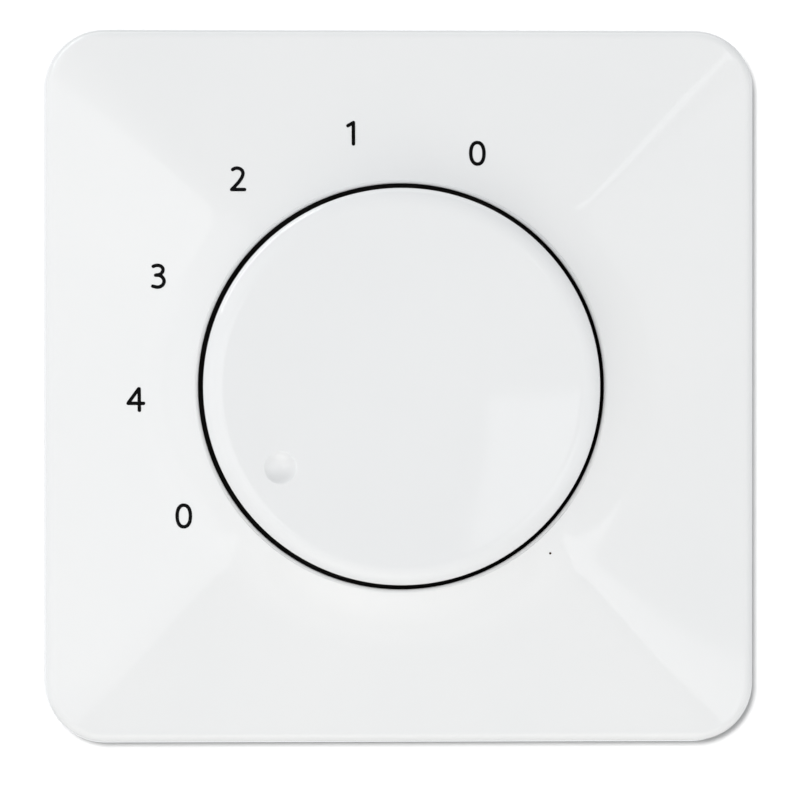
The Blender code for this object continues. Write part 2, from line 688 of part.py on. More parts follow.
def leaf_slot(below, carrier):
    """The slot that traps the ends of the detent spring, drawn on the +X side."""
    half = LEAF_HALF_LENGTH + SEAT
    return block("leaf_slot", (LEAF_INNER, -half, below), (LEAF_OUTER, half, CAP_CEILING), carrier)


def terminal_places():
    """Each terminal's name, its X and the side of the housing it opens to."""
    places = [("line", 0, 1)]
    for number in range(1, SPEEDS + 1):
        x = TERMINAL_PITCH * ((SPEEDS + 1) / 2 - number)
        places.append((f"speed_{number}", x, -1))
    return places


def build_switch_base(carrier, look):
    base = prism("switch_base", housing_outline(), BASE_BOTTOM, BASE_TOP, carrier, look)
    above = BASE_TOP + OVERRUN
    pilot_bottom = BASE_FLOOR_TOP - PILOT_ENTRY - SEAT
    pilot = circle(PILOT_RADIUS + SEAT, SMALL_STEPS)
    tools = [
        prism("base_cavity", circle(CAVITY_RADIUS, ROUND_STEPS), BASE_FLOOR_TOP, above, carrier),
        prism("pilot_hole", pilot, pilot_bottom, BASE_FLOOR_TOP + OVERRUN, carrier),
    ]
    screw_end = CAP_TOP - HOUSING_SCREW_SUNK - HOUSING_SCREW_HEAD - HOUSING_SCREW_LENGTH - SEAT
    for place in corner_places():
        hole = circle(HOUSING_SCREW_RADIUS + SEAT, SMALL_STEPS, place)
        tools.append(prism("corner_hole", hole, screw_end, above, carrier))
    for number, (name, x, side) in enumerate(terminal_places()):
        start = (0, 0) if name == "line" else dome_place(number)
        path = strip_path(start, x, side, SEAT)
        channel = ribbon(path, CONTACT_WIDTH + 2 * SEAT)
        tools.append(prism("strip_channel", channel, BASE_FLOOR_TOP, above, carrier))
        tools += terminal_tools(x, side, carrier)
    return cut(base, tools)


def terminal_tools(x, side, carrier):
    """The chamber for a clamp, the slot for the contact's tab above it and the wire's hole below it."""
    half = TERMINAL_WIDTH / 2
    ends = sorted((side * (HOUSING_HALF + OVERRUN), side * (HOUSING_HALF - TERMINAL_DEPTH)))
    chamber_low = (x - half, ends[0], CHAMBER_BOTTOM)
    chamber_high = (x + half, ends[1], CHAMBER_TOP)
    half = CONTACT_WIDTH / 2 + SEAT
    ends = sorted((side * (TAB_INNER - SEAT), side * (TAB_OUTER + SEAT)))
    slot_low = (x - half, ends[0], CHAMBER_TOP - OVERRUN)
    slot_high = (x + half, ends[1], BASE_FLOOR_TOP + OVERRUN)
    wire = circle(WIRE_HOLE_RADIUS, SMALL_STEPS, (x, side * (TAB_OUTER + WIRE_HOLE_RADIUS)))
    return [
        block("chamber", chamber_low, chamber_high, carrier),
        block("tab_slot", slot_low, slot_high, carrier),
        prism("wire_hole", wire, BASE_BOTTOM - OVERRUN, CHAMBER_BOTTOM + OVERRUN, carrier),
    ]


# Rotor
def build_rotor(carrier, look):
    pilot_bottom = BASE_FLOOR_TOP - PILOT_ENTRY
    profile = [
        (SPINDLE_RADIUS - SPINDLE_TIP_BEVEL, SPINDLE_TOP),
        (SPINDLE_RADIUS, SPINDLE_TOP - SPINDLE_TIP_BEVEL),
        (SPINDLE_RADIUS, CAP_CEILING - SEAT),
        (SHOULDER_RADIUS, CAP_CEILING - SEAT),
        (SHOULDER_RADIUS, CARRIER_TOP),
        (CARRIER_RADIUS, CARRIER_TOP),
        (CARRIER_RADIUS, CARRIER_BOTTOM),
        (PILOT_RADIUS, CARRIER_BOTTOM),
        (PILOT_RADIUS, pilot_bottom),
    ]
    rotor = turned("rotor", profile, ROUND_STEPS, carrier, look)
    wheel = prism("detent_wheel", wheel_outline(), WHEEL_BOTTOM, WHEEL_TOP, carrier)
    start, end = LUG_REST_ANGLE - LUG_HALF_ANGLE, LUG_REST_ANGLE + LUG_HALF_ANGLE
    lug_outline = sector(SHOULDER_RADIUS - OVERRUN, LUG_OUTER_RADIUS, start, end, ROUNDING_SPANS)
    lug = prism("lug", lug_outline, LUG_BOTTOM, WHEEL_BOTTOM + OVERRUN, carrier)
    pegs = []
    for side in (-1, 1):
        outline = circle(PEG_RADIUS, SMALL_STEPS, (0, side * PEG_OUT))
        peg = prism("peg", outline, CARRIER_BOTTOM - PEG_DEPTH, CARRIER_BOTTOM + OVERRUN, carrier)
        pegs.append(turn(peg, CONTACT_REST_ANGLE))
    join(rotor, [wheel, lug, *pegs])

    reach = SPINDLE_RADIUS + OVERRUN
    low = (SPINDLE_FLAT, -reach, NECK_TOP)
    high = (reach, reach, SPINDLE_TOP + OVERRUN)
    return cut(rotor, [turn(block("spindle_flat", low, high, carrier), DIMPLE_ANGLE)])


def wheel_outline():
    """A wheel with a round notch for every step of a full turn, one of them at the detent spring."""
    notches = round(math.tau / STEP_ANGLE)
    steps = notches * WHEEL_POINTS_A_NOTCH
    outline = []
    for i in range(steps):
        turned_by = math.tau * i / steps
        radius = WHEEL_RADIUS - WHEEL_NOTCH * (1 + math.cos(notches * turned_by)) / 2
        angle = DETENT_ANGLE + turned_by
        outline.append((radius * math.cos(angle), radius * math.sin(angle)))
    return outline


# Detent spring
def build_detent_spring(carrier, look):
    nose_line = WHEEL_RADIUS - WHEEL_NOTCH + SEAT + LEAF_THICKNESS / 2
    nose_flat = LEAF_NOSE_HALF_WIDTH * LEAF_NOSE_FLAT_SHARE
    path = [
        (LEAF_LINE, -LEAF_HALF_LENGTH),
        (LEAF_LINE, -LEAF_NOSE_HALF_WIDTH),
        (nose_line, -nose_flat),
        (nose_line, nose_flat),
        (LEAF_LINE, LEAF_NOSE_HALF_WIDTH),
        (LEAF_LINE, LEAF_HALF_LENGTH),
    ]
    outline = ribbon(path, LEAF_THICKNESS)
    leaf = prism("detent_spring", outline, CAP_BOTTOM + SEAT, CAP_CEILING - SEAT, carrier, look)
    return turn(leaf, DETENT_ANGLE)


def ribbon(path, width):
    """The outline of a band of one width along a path, with mitred bends."""
    points = [Vector(point) for point in path]
    runs = [(b - a).normalized() for a, b in zip(points, points[1:])]
    left, right = [], []
    for i, point in enumerate(points):
        before = runs[max(i - 1, 0)]
        after = runs[min(i, len(runs) - 1)]
        along = (before + after).normalized()
        out = Vector((-along.y, along.x)) * width / 2 / along.dot(after)
        left.append(tuple(point + out))
        right.append(tuple(point - out))
    return left + right[::-1]


# Contacts
def side_prism(name, profile, width, carrier, look=None):
    """A profile of (along X, height), as wide as given along Y."""
    loops = [[Vector((x, side * width / 2, z)) for x, z in profile] for side in (-1, 1)]
    return loft(name, loops, carrier, look)


def wiper_profile(touch, surface):
    """A sprung arm, seen from its side: it leaves the bridge's ring and rests its toe on a contact."""
    toe = surface + SEAT + BRIDGE_THICKNESS
    half_toe = TOE_LENGTH / 2
    top = [
        (PEG_OUT, BRIDGE_TOP),
        (BRIDGE_RING_RADIUS, BRIDGE_TOP),
        (touch - half_toe, toe),
        (touch + half_toe, toe),
        (touch + half_toe + TOE_LIFT, toe + TOE_LIFT),
    ]
    return top + [(x, z - BRIDGE_THICKNESS) for x, z in reversed(top)]


def build_contact_bridge(carrier, look):
    outer = circle(BRIDGE_RING_RADIUS, ROUND_STEPS)
    inner = circle(PILOT_RADIUS + SEAT, ROUND_STEPS)
    bridge = ring_prism("contact_bridge", outer, inner, BRIDGE_BOTTOM, BRIDGE_TOP, carrier, look)
    turn(bridge, CONTACT_REST_ANGLE)
    speed_profile = wiper_profile(CONTACT_OUT, DOME_TOP)
    common_profile = wiper_profile(COMMON_TOUCH_OUT, CONTACT_TOP)
    speed_arm = side_prism("speed_arm", speed_profile, BRIDGE_ARM_WIDTH, carrier)
    common_arm = side_prism("common_arm", common_profile, BRIDGE_ARM_WIDTH, carrier)
    join(bridge, [turn(speed_arm, CONTACT_REST_ANGLE), turn(common_arm, CONTACT_REST_ANGLE + math.pi)])
    holes = []
    for side in (-1, 1):
        outline = circle(PEG_RADIUS + SEAT, SMALL_STEPS, (0, side * PEG_OUT))
        hole = prism("peg_hole", outline, BRIDGE_BOTTOM - OVERRUN, BRIDGE_TOP + OVERRUN, carrier)
        holes.append(turn(hole, CONTACT_REST_ANGLE))
    return cut(bridge, holes)


def dome_place(number):
    angle = CONTACT_REST_ANGLE - number * STEP_ANGLE
    return (CONTACT_OUT * math.cos(angle), CONTACT_OUT * math.sin(angle))


def strip_path(start, x, side, past=0):
    """From a contact to its terminal: aslant to the terminal's own line and then straight out."""
    knee = (x, side * (TAB_INNER - CONTACT_WIDTH / 2))
    end = (x, side * (TAB_OUTER + past))
    return [start, knee, end]


def contact_tab(x, side, carrier):
    """The end of a contact strip that is bent back into its clamp."""
    half = CONTACT_WIDTH / 2
    ends = sorted((side * TAB_INNER, side * TAB_OUTER))
    bottom = CLAMP_MIDDLE - CLAMP_HEIGHT / 2
    return block("tab", (x - half, ends[0], bottom), (x + half, ends[1], CONTACT_TOP), carrier)


def build_speed_contact(number, x, side, carrier, look):
    outline = ribbon(strip_path(dome_place(number), x, side), CONTACT_WIDTH)
    strip = prism(f"speed_contact_{number}", outline, CONTACT_BOTTOM, CONTACT_TOP, carrier, look)
    rise = DOME_HEIGHT / 2
    dome = [
        (DOME_RADIUS, CONTACT_BOTTOM),
        (DOME_RADIUS, CONTACT_TOP + rise),
        (DOME_RADIUS - rise, DOME_TOP),
    ]
    button = turned("contact_button", dome, SMALL_STEPS, carrier, centre=dome_place(number))
    return join(strip, [button, contact_tab(x, side, carrier)])


def build_common_contact(x, side, carrier, look):
    outer = circle(COMMON_OUTER_RADIUS, ROUND_STEPS)
    inner = circle(COMMON_INNER_RADIUS, ROUND_STEPS)
    contact = ring_prism("common_contact", outer, inner, CONTACT_BOTTOM, CONTACT_TOP, carrier, look)
    middle = (COMMON_INNER_RADIUS + COMMON_OUTER_RADIUS) / 2
    path = strip_path((x, side * middle), x, side)
    strip = prism("strip", ribbon(path, CONTACT_WIDTH), CONTACT_BOTTOM, CONTACT_TOP, carrier)
    return join(contact, [strip, contact_tab(x, side, carrier)])


# Terminals
def clamp_mesh(carrier, look):
    """A clamp round the origin: a square tube along Z with the screw's hole in its -Y wall."""
    half_x, half_y = TERMINAL_WIDTH / 2 - SEAT, CLAMP_DEPTH / 2
    outer = rectangle((-half_x, -half_y), (half_x, half_y))
    inner = rectangle((CLAMP_WALL - half_x, CLAMP_WALL - half_y), (half_x - CLAMP_WALL, half_y - CLAMP_WALL))
    low, high = -CLAMP_HEIGHT / 2, CLAMP_HEIGHT / 2
    clamp = ring_prism("clamp", outer, inner, low, high, carrier, look)
    hole = prism("screw_hole", circle(TERMINAL_SCREW_RADIUS + SEAT, SMALL_STEPS), 0, CLAMP_DEPTH, carrier)
    hole.data.transform(Matrix.Rotation(math.pi / 2, 4, "X"))
    return finished_mesh(cut(clamp, [hole]))


def screw_mesh(name, head_radius, head, radius, length, carrier, look, countersunk=False):
    """A slotted screw that points down -Z, with the top of its head at the origin."""
    bevel = DRIVE_SLOT_DEPTH / 4
    head_side = [] if countersunk else [(head_radius, -head)]
    profile = [
        (head_radius - bevel, 0),
        (head_radius, -bevel),
        *head_side,
        (radius, -head),
        (radius, bevel - head - length),
        (radius - bevel, -head - length),
    ]
    screw = turned(name, profile, SMALL_STEPS, carrier, look)
    reach = head_radius + OVERRUN
    half = DRIVE_SLOT_WIDTH / 2
    slot = block("drive_slot", (-reach, -half, -DRIVE_SLOT_DEPTH), (reach, half, OVERRUN), carrier)
    return finished_mesh(cut(screw, [slot]))


def build_terminals(carrier, steel, brass, zinc):
    clamp = clamp_mesh(carrier, steel)
    screw = screw_mesh(
        "terminal_screw",
        TERMINAL_SCREW_HEAD_RADIUS,
        TERMINAL_SCREW_HEAD,
        TERMINAL_SCREW_RADIUS,
        TERMINAL_SCREW_LENGTH,
        carrier,
        zinc,
    )
    clamp_out = (CLAMP_INNER + CLAMP_OUTER) / 2
    head_out = CLAMP_OUTER + SEAT + TERMINAL_SCREW_HEAD
    for number, (name, x, side) in enumerate(terminal_places()):
        about = 0 if side < 0 else math.pi
        place_copy(f"{name}_clamp", clamp, carrier, (x, side * clamp_out, CLAMP_MIDDLE), (0, 0, about))
        tilt = (-side * math.pi / 2, 0, 0)
        place_copy(f"{name}_screw", screw, carrier, (x, side * head_out, CLAMP_MIDDLE), tilt)
        if name == "line":
            build_common_contact(x, side, carrier, brass)
        else:
            build_speed_contact(number, x, side, carrier, brass)


# Screws of the housing, the mounting plate and the wall box
def build_assembly_screws(carrier, look):
    housing = screw_mesh(
        "housing_screw",
        HOUSING_SCREW_HEAD_RADIUS,
        HOUSING_SCREW_HEAD,
        HOUSING_SCREW_RADIUS,
        HOUSING_SCREW_LENGTH,
        carrier,
        look,
    )
    for number, (x, y) in enumerate(corner_places(), start=1):
        place_copy(f"housing_screw_{number}", housing, carrier, (x, y, CAP_TOP - HOUSING_SCREW_SUNK))

    plate = screw_mesh(
        "plate_screw",
        PLATE_SCREW_HEAD_RADIUS,
        MOUNT_THICKNESS,
        PLATE_SCREW_RADIUS,
        PLATE_SCREW_LENGTH - MOUNT_THICKNESS,
        carrier,
        look,
        countersunk=True,
    )
    box = screw_mesh(
        "box_screw", BOX_SCREW_HEAD_RADIUS, BOX_SCREW_HEAD, BOX_SCREW_RADIUS, BOX_SCREW_LENGTH, carrier, look
    )
    box_head_top = MOUNT_THICKNESS + SEAT + BOX_SCREW_HEAD
    for number, side in enumerate((-1, 1), start=1):
        place_copy(f"plate_screw_{number}", plate, carrier, (side * PLATE_SCREW_OUT, 0, MOUNT_THICKNESS))
        place_copy(f"box_screw_{number}", box, carrier, (side * BOX_SCREW_OUT, 0, box_head_top))


def main():
    clear_scene()
    stand = add_empty("wall_stand")
    stand.rotation_euler = (math.pi / 2, 0, 0)
    axis = add_empty("dial_axis", stand)

    white = material("white_plastic", (0.84, 0.84, 0.85), 0.25)
    pale = material("pale_plastic", (0.68, 0.69, 0.68), 0.45)
    dark = material("dark_plastic", (0.07, 0.07, 0.075), 0.5)
    steel = material("zinc_plated_steel", (0.62, 0.63, 0.62), 0.35, 1.0)
    spring_steel = material("spring_steel", (0.5, 0.5, 0.52), 0.3, 1.0)
    brass = material("brass", (0.8, 0.62, 0.3), 0.3, 1.0)
    bronze = material("bronze", (0.72, 0.45, 0.28), 0.3, 1.0)

    build_cover_plate(stand, white)
    build_knob(axis, white)
    build_knob_spring(axis, spring_steel)
    build_shaft_nut(stand, brass)
    build_lock_washer(stand, steel)
    build_mounting_plate(stand, steel)
    build_switch_cap(stand, pale)
    build_switch_base(stand, dark)
    build_rotor(axis, pale)
    build_detent_spring(stand, spring_steel)
    build_contact_bridge(axis, bronze)
    build_terminals(stand, steel, brass, steel)
    build_assembly_screws(stand, steel)


main()
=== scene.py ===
"""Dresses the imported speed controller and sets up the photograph's view of it, in metres.

New pieces are drawn on the bench, +Z out of the wall and +Y up the wall, and then stood up to face -Y. Their
sizes are the ones that the part's own source gives to the solids that they stand for.
"""

import json
import math

import bmesh
import bpy
from mathutils import Matrix, Vector, geometry


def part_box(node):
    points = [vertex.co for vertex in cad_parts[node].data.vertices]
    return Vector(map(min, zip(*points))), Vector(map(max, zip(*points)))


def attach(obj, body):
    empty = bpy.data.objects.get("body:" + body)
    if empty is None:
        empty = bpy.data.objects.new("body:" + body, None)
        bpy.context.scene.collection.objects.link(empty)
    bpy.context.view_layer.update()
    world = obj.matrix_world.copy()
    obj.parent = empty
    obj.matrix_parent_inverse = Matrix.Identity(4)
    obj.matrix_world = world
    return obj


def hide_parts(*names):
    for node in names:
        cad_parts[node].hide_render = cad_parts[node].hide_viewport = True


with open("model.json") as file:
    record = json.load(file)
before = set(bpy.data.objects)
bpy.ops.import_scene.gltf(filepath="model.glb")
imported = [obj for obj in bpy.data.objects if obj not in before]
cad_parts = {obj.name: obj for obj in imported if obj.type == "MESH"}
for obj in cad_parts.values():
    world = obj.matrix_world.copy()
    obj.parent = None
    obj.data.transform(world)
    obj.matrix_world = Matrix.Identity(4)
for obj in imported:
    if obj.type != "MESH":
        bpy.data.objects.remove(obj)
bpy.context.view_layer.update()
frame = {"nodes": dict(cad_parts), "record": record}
STAND = Matrix.Rotation(math.pi / 2, 4, "X")

# Mesh fineness, in spans
HALF_SIDE_SPANS = 40
CORNER_SPANS = 32
PLATE_STEPS = 4 * (2 * HALF_SIDE_SPANS + CORNER_SPANS)
KNOB_STEPS = 288
SCREW_STEPS = 32
EDGE_SPANS = 14
FACET_SPANS = 28
COLLAR_SPANS = 24
INSIDE_SPANS = 10
BOWL_SPANS = 14
CAP_SPANS = 8
SHARP_ANGLE = math.radians(35)
FLAT_ANGLE = math.radians(0.5)

# Fits
SEAT = 0.0003
OVERRUN = 0.001
WELD_DISTANCE = 0.000003
CLOSEST_POINTS = 0.0000003

# Knob
KNOB_RADIUS = 0.0226
KNOB_SKIN = 0.0018
KNOB_WALL = 0.0016
KNOB_EDGE_ROUND = 0.0014
KNOB_EDGE_REACH = 0.0024
KNOB_TOP = 0.0124
KNOB_CEILING = KNOB_TOP - KNOB_SKIN
KNOB_BOTTOM = 0.005
KNOB_HUB_RADIUS = 0.0056
KNOB_RIBS = 6
KNOB_RIB_THICKNESS = 0.0012
KNOB_BORE_TOP = 0.0115
KNOB_BORE_RADIUS = 0.0033
KNOB_BORE_FLAT = 0.0025
HUB_BOTTOM = 0.0077
RIB_BOTTOM = 0.0082
DIMPLE_RADIUS = 0.00185
DIMPLE_DEPTH = 0.0007
DIMPLE_RIM_ROUND = 0.00022
DIMPLE_OUT = 0.0166
DIMPLE_ANGLE = math.radians(213.5)

# Cover plate
APERTURE_RADIUS = 0.02315
PLATE_WIDTH = 0.0816
PLATE_HEIGHT = 0.082
PLATE_CORNER = 0.007
PLATE_WALL = 0.002
PLATE_EDGE_TOP = 0.0062
PLATE_EDGE_ROUND = 0.0011
PLATE_DRAFT = 0.0003
FACET_RISE = 0.0012
HIP_SHARPNESS_SHARE = 20.0
COLLAR_FOOT = 0.03095
COLLAR_CURVE_SHARE = 3.0
COLLAR_RISE = 0.0034
COLLAR_ROUND = 0.0004
WELL_WALL = 0.0016
FLOOR_TOP = 0.004
FLOOR_BOTTOM = 0.002
PAD_BOTTOM = 0.0015
PAD_RADIUS = 0.009
NECK_HOLE_RADIUS = 0.0053

# Dial numbers: their centres as (angle, distance) about the knob's axis
NUMBER_HEIGHT = 0.00288
NUMBER_STROKE = 0.0004
FILM_LIFT = 0.00003
FILM_ROOT = 0.00003
NUMBER_SPANS = 8
NUMBER_PLACES = [
    ("number_0_first", "0", math.radians(210.8), 0.02885),
    ("number_4", "4", math.radians(182.9), 0.03026),
    ("number_3", "3", math.radians(155.6), 0.03035),
    ("number_2", "2", math.radians(128.1), 0.03006),
    ("number_1", "1", math.radians(100.6), 0.02939),
    ("number_0_last", "0", math.radians(71.8), 0.02801),
]
# Strokes as shares of a number's height, from its middle, +X right and +Y up
NUMBER_STROKES_SHARE = {
    "arrow": [[(0.0, -0.4), (0.0, 0.4)], [(-0.25, 0.12), (0.0, 0.4)], [(0.25, 0.12), (0.0, 0.4)]],
    "1": [[(-0.215, 0.3), (0.0, 0.425)], [(0.0, 0.425), (0.0, -0.425)]],
    "2": [
        [
            (-0.225, 0.37),
            (-0.13, 0.42),
            (-0.02, 0.428),
            (0.09, 0.39),
            (0.165, 0.305),
            (0.18, 0.2),
            (0.14, 0.065),
            (0.03, -0.105),
            (-0.11, -0.265),
            (-0.255, -0.41),
        ],
        [(-0.265, -0.42), (0.245, -0.42)],
    ],
    "3": [
        [
            (-0.21, 0.4),
            (-0.1, 0.437),
            (0.015, 0.435),
            (0.12, 0.385),
            (0.175, 0.285),
            (0.145, 0.17),
            (0.055, 0.085),
            (-0.115, 0.05),
        ],
        [
            (-0.115, 0.05),
            (0.03, 0.043),
            (0.145, -0.025),
            (0.215, -0.15),
            (0.195, -0.285),
            (0.1, -0.385),
            (-0.04, -0.422),
            (-0.23, -0.385),
        ],
    ],
    "4": [
        [(0.125, 0.435), (0.135, -0.415)],
        [(0.105, 0.435), (-0.31, -0.135)],
        [(-0.31, -0.14), (0.3, -0.14)],
    ],
}
ZERO_HALF_WIDTH_SHARE = 0.262
ZERO_HALF_HEIGHT_SHARE = 0.428
ZERO_SQUARENESS_SHARE = 2.25
ZERO_STEPS = 72
DIRT_SPECK_RADIUS = 0.00014
DIRT_SPECK_PLACE = (0.01703, -0.01906)

# Screws
BOX_SCREW_OUT = 0.03
BOX_SCREW_TOP = 0.0035
BOX_SCREW_HEAD_RADIUS = 0.0031
BOX_SCREW_HEAD = 0.002
BOX_SCREW_RADIUS = 0.0016
BOX_SCREW_LENGTH = 0.018
BOX_SCREW_PITCH = 0.0007
PLATE_SCREW_OUT = 0.01925
PLATE_SCREW_TOP = 0.0012
PLATE_SCREW_HEAD_RADIUS = 0.0024
PLATE_SCREW_HEAD = 0.0012
PLATE_SCREW_RADIUS = 0.0012
PLATE_SCREW_LENGTH = 0.0053
PLATE_SCREW_PITCH = 0.0006
HOUSING_SCREW_OUT = 0.0174
HOUSING_SCREW_TOP = -0.0009
HOUSING_SCREW_HEAD_RADIUS = 0.0022
HOUSING_SCREW_HEAD = 0.0015
HOUSING_SCREW_RADIUS = 0.0012
HOUSING_SCREW_LENGTH = 0.012
HOUSING_SCREW_PITCH = 0.0008
TERMINAL_SCREW_OUT = 0.0212
TERMINAL_SCREW_HEAD_RADIUS = 0.0026
TERMINAL_SCREW_HEAD = 0.0016
TERMINAL_SCREW_RADIUS = 0.0015
TERMINAL_SCREW_LENGTH = 0.0024
TERMINAL_SCREW_PITCH = 0.0005
DRIVE_SLOT_WIDTH = 0.0007
DRIVE_SLOT_DEPTH = 0.0007
THREAD_ROWS_A_TURN = 6
THREAD_DEPTH_SHARE = 0.36
THREAD_CREST_SHARE = 1.6
THREAD_ROOT_SHARE = 0.3
SCREW_POINT_SHARE = 0.8
# A screw's head: how far out its rings lie, how high it is domed, and how its rim is rounded
HEAD_RINGS_SHARE = (0.12, 0.35, 0.55, 0.72, 0.86, 0.94)
HEAD_DOME_SHARE = 1 / 6
HEAD_RIM_SHARE = 0.99
HEAD_UNDERSIDE_SHARE = 0.97
HEAD_EDGE_SHARE = 1 / 6

# Terminals
SPEEDS = 4
TERMINAL_PITCH = 0.0087
TERMINAL_LEVEL = -0.021
TERMINAL_MARK_OUT = 0.0133
TERMINAL_MARK_SHARE = 0.8
# Name, place across and side of the switch of each terminal
TERMINAL_PLACES = [("line", 0, 1)]
TERMINAL_PLACES += [(f"speed_{n}", TERMINAL_PITCH * ((SPEEDS + 1) / 2 - n), -1) for n in range(1, SPEEDS + 1)]


# Meshes
def arc(radius, start, end, steps, centre=(0, 0)):
    """Points along an arc, both ends included."""
    turns = [start + (end - start) * i / steps for i in range(steps + 1)]
    return [(centre[0] + radius * math.cos(t), centre[1] + radius * math.sin(t)) for t in turns]


def circle(radius, steps, centre=(0, 0)):
    return arc(radius, 0, math.tau, steps, centre)[:-1]


def level(outline, height):
    return [Vector((x, y, height)) for x, y in outline]


def loft(name, loops, ring=False):
    """One closed mesh through loops of equally many points: capped at both ends, or joined into a ring."""
    work = bmesh.new()
    rows = [[work.verts.new(point) for point in loop] for loop in loops]
    pairs = list(zip(rows, rows[1:]))
    if ring:
        pairs.append((rows[-1], rows[0]))
    else:
        work.faces.new(rows[0])
        work.faces.new(rows[-1])
    for low, high in pairs:
        for i in range(len(low)):
            j = (i + 1) % len(low)
            work.faces.new((low[i], low[j], high[j], high[i]))
    bmesh.ops.recalc_face_normals(work, faces=work.faces)
    mesh = bpy.data.meshes.new(name)
    work.to_mesh(mesh)
    work.free()
    return mesh


def box_mesh(name, low, high):
    outline = [(low[0], low[1]), (high[0], low[1]), (high[0], high[1]), (low[0], high[1])]
    return loft(name, [level(outline, low[2]), level(outline, high[2])])


def changed(mesh, tools, operation):
    """The mesh with others cut out of it or joined to it."""
    body = bpy.data.objects.new("work", mesh)
    bpy.context.scene.collection.objects.link(body)
    helpers = []
    for tool in tools:
        helper = bpy.data.objects.new("tool", tool)
        bpy.context.scene.collection.objects.link(helper)
        change = body.modifiers.new(operation, "BOOLEAN")
        change.operation = operation
        change.solver = "EXACT"
        change.object = helper
        helpers.append(helper)
    bpy.context.view_layer.update()
    made = bpy.data.meshes.new_from_object(body.evaluated_get(bpy.context.evaluated_depsgraph_get()))
    made.name = mesh.name
    for item in [body, *helpers]:
        bpy.data.objects.remove(item, do_unlink=True)
    return made


def add_piece(name, mesh, look, body, replaced=()):
    """A bench mesh stood up as a piece that rides on a body."""
    mesh.transform(STAND)
    mesh.materials.clear()
    mesh.materials.append(look)
    mesh.shade_smooth()
    mesh.set_sharp_from_angle(angle=SHARP_ANGLE)
    piece = bpy.data.objects.new(name, mesh)
    bpy.context.scene.collection.objects.link(piece)
    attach(piece, body)
    if replaced:
        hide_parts(*replaced)
    return piece


# Materials: the range that noise covers, and the usual sizes of its clouds, patches of gloss and grain
NOISE_LOW = 0.3
NOISE_HIGH = 0.7
CLOUD_DETAIL = 4.0
GRAIN_DETAIL = 2.0
GRAIN_DEPTH = 0.00002
USUAL_IOR = 1.5
PLASTIC_CLOUD_SIZE = 0.02
PLASTIC_PATCH_SIZE = 0.004
PLASTIC_GRAIN_SIZE = 0.0006
PLASTIC_GRAIN_STRENGTH = 0.1
CAP_GRAIN_SIZE = 0.0002
CAP_GRAIN_DEPTH = 0.00004
BASE_GRAIN_SIZE = 0.00018
BASE_GRAIN_DEPTH = 0.00005
FILM_GRAIN_SIZE = 0.0001
METAL_CLOUD_SIZE = 0.004
METAL_PATCH_SIZE = 0.0012
METAL_GRAIN_SIZE = 0.0003
METAL_GRAIN_STRENGTH = 0.25


def link_noise(tree, places, size, detail=CLOUD_DETAIL, stretch=(1, 1, 1)):
    """Noise with patches of about the given size, in metres."""
    mapping = tree.nodes.new("ShaderNodeMapping")
    mapping.inputs["Scale"].default_value = [part / size for part in stretch]
    noise = tree.nodes.new("ShaderNodeTexNoise")
    noise.inputs["Scale"].default_value = 1.0
    noise.inputs["Detail"].default_value = detail
    tree.links.new(places.outputs["Object"], mapping.inputs["Vector"])
    tree.links.new(mapping.outputs["Vector"], noise.inputs["Vector"])
    return noise.outputs["Fac"]


def link_range(tree, source, low, high):
    """Noise spread over a range of values."""
    spread = tree.nodes.new("ShaderNodeMapRange")
    spread.inputs["From Min"].default_value = NOISE_LOW
    spread.inputs["From Max"].default_value = NOISE_HIGH
    spread.inputs["To Min"].default_value = low
    spread.inputs["To Max"].default_value = high
    tree.links.new(source, spread.inputs["Value"])
    return spread.outputs["Result"]


def surface(name, look):
    """A material with clouded colour, uneven gloss and a fine grain."""
    made = bpy.data.materials.new(name)
    made.use_nodes = True
    tree = made.node_tree
    shader = tree.nodes["Principled BSDF"]
    places = tree.nodes.new("ShaderNodeTexCoord")

    clouds = link_range(tree, link_noise(tree, places, look["cloud_size"]), 0.0, 1.0)
    mix = tree.nodes.new("ShaderNodeMix")
    mix.data_type = "RGBA"
    mix.inputs["A"].default_value = (*look["colours"][0], 1)
    mix.inputs["B"].default_value = (*look["colours"][1], 1)
    tree.links.new(clouds, mix.inputs["Factor"])
    tree.links.new(mix.outputs["Result"], shader.inputs["Base Color"])

    stretch = look["stretch"]
    gloss = link_noise(tree, places, look["patch_size"], stretch=stretch)
    tree.links.new(link_range(tree, gloss, *look["roughness"]), shader.inputs["Roughness"])

    bump = tree.nodes.new("ShaderNodeBump")
    bump.inputs["Strength"].default_value = look["grain_strength"]
    bump.inputs["Distance"].default_value = look["grain_depth"]
    grain = link_noise(tree, places, look["grain_size"], GRAIN_DETAIL, stretch)
    tree.links.new(grain, bump.inputs["Height"])
    tree.links.new(bump.outputs["Normal"], shader.inputs["Normal"])
    shader.inputs["Metallic"].default_value = look["metallic"]
    shader.inputs["IOR"].default_value = look["ior"]
    return made


def plastic(
    colours,
    roughness,
    grain_size=PLASTIC_GRAIN_SIZE,
    grain_depth=GRAIN_DEPTH,
    grain_strength=PLASTIC_GRAIN_STRENGTH,
    ior=USUAL_IOR,
):
    return {
        "colours": colours,
        "roughness": roughness,
        "cloud_size": PLASTIC_CLOUD_SIZE,
        "patch_size": PLASTIC_PATCH_SIZE,
        "grain_size": grain_size,
        "grain_depth": grain_depth,
        "grain_strength": grain_strength,
        "stretch": (1, 1, 1),
        "metallic": 0.0,
        "ior": ior,
    }


def metal(colours, roughness, stretch=(1, 1, 1), grain_strength=METAL_GRAIN_STRENGTH):
    return {
        "colours": colours,
        "roughness": roughness,
        "cloud_size": METAL_CLOUD_SIZE,
        "patch_size": METAL_PATCH_SIZE,
        "grain_size": METAL_GRAIN_SIZE,
        "grain_depth": GRAIN_DEPTH,
        "grain_strength": grain_strength,
        "stretch": stretch,
        "metallic": 1.0,
        "ior": USUAL_IOR,
    }


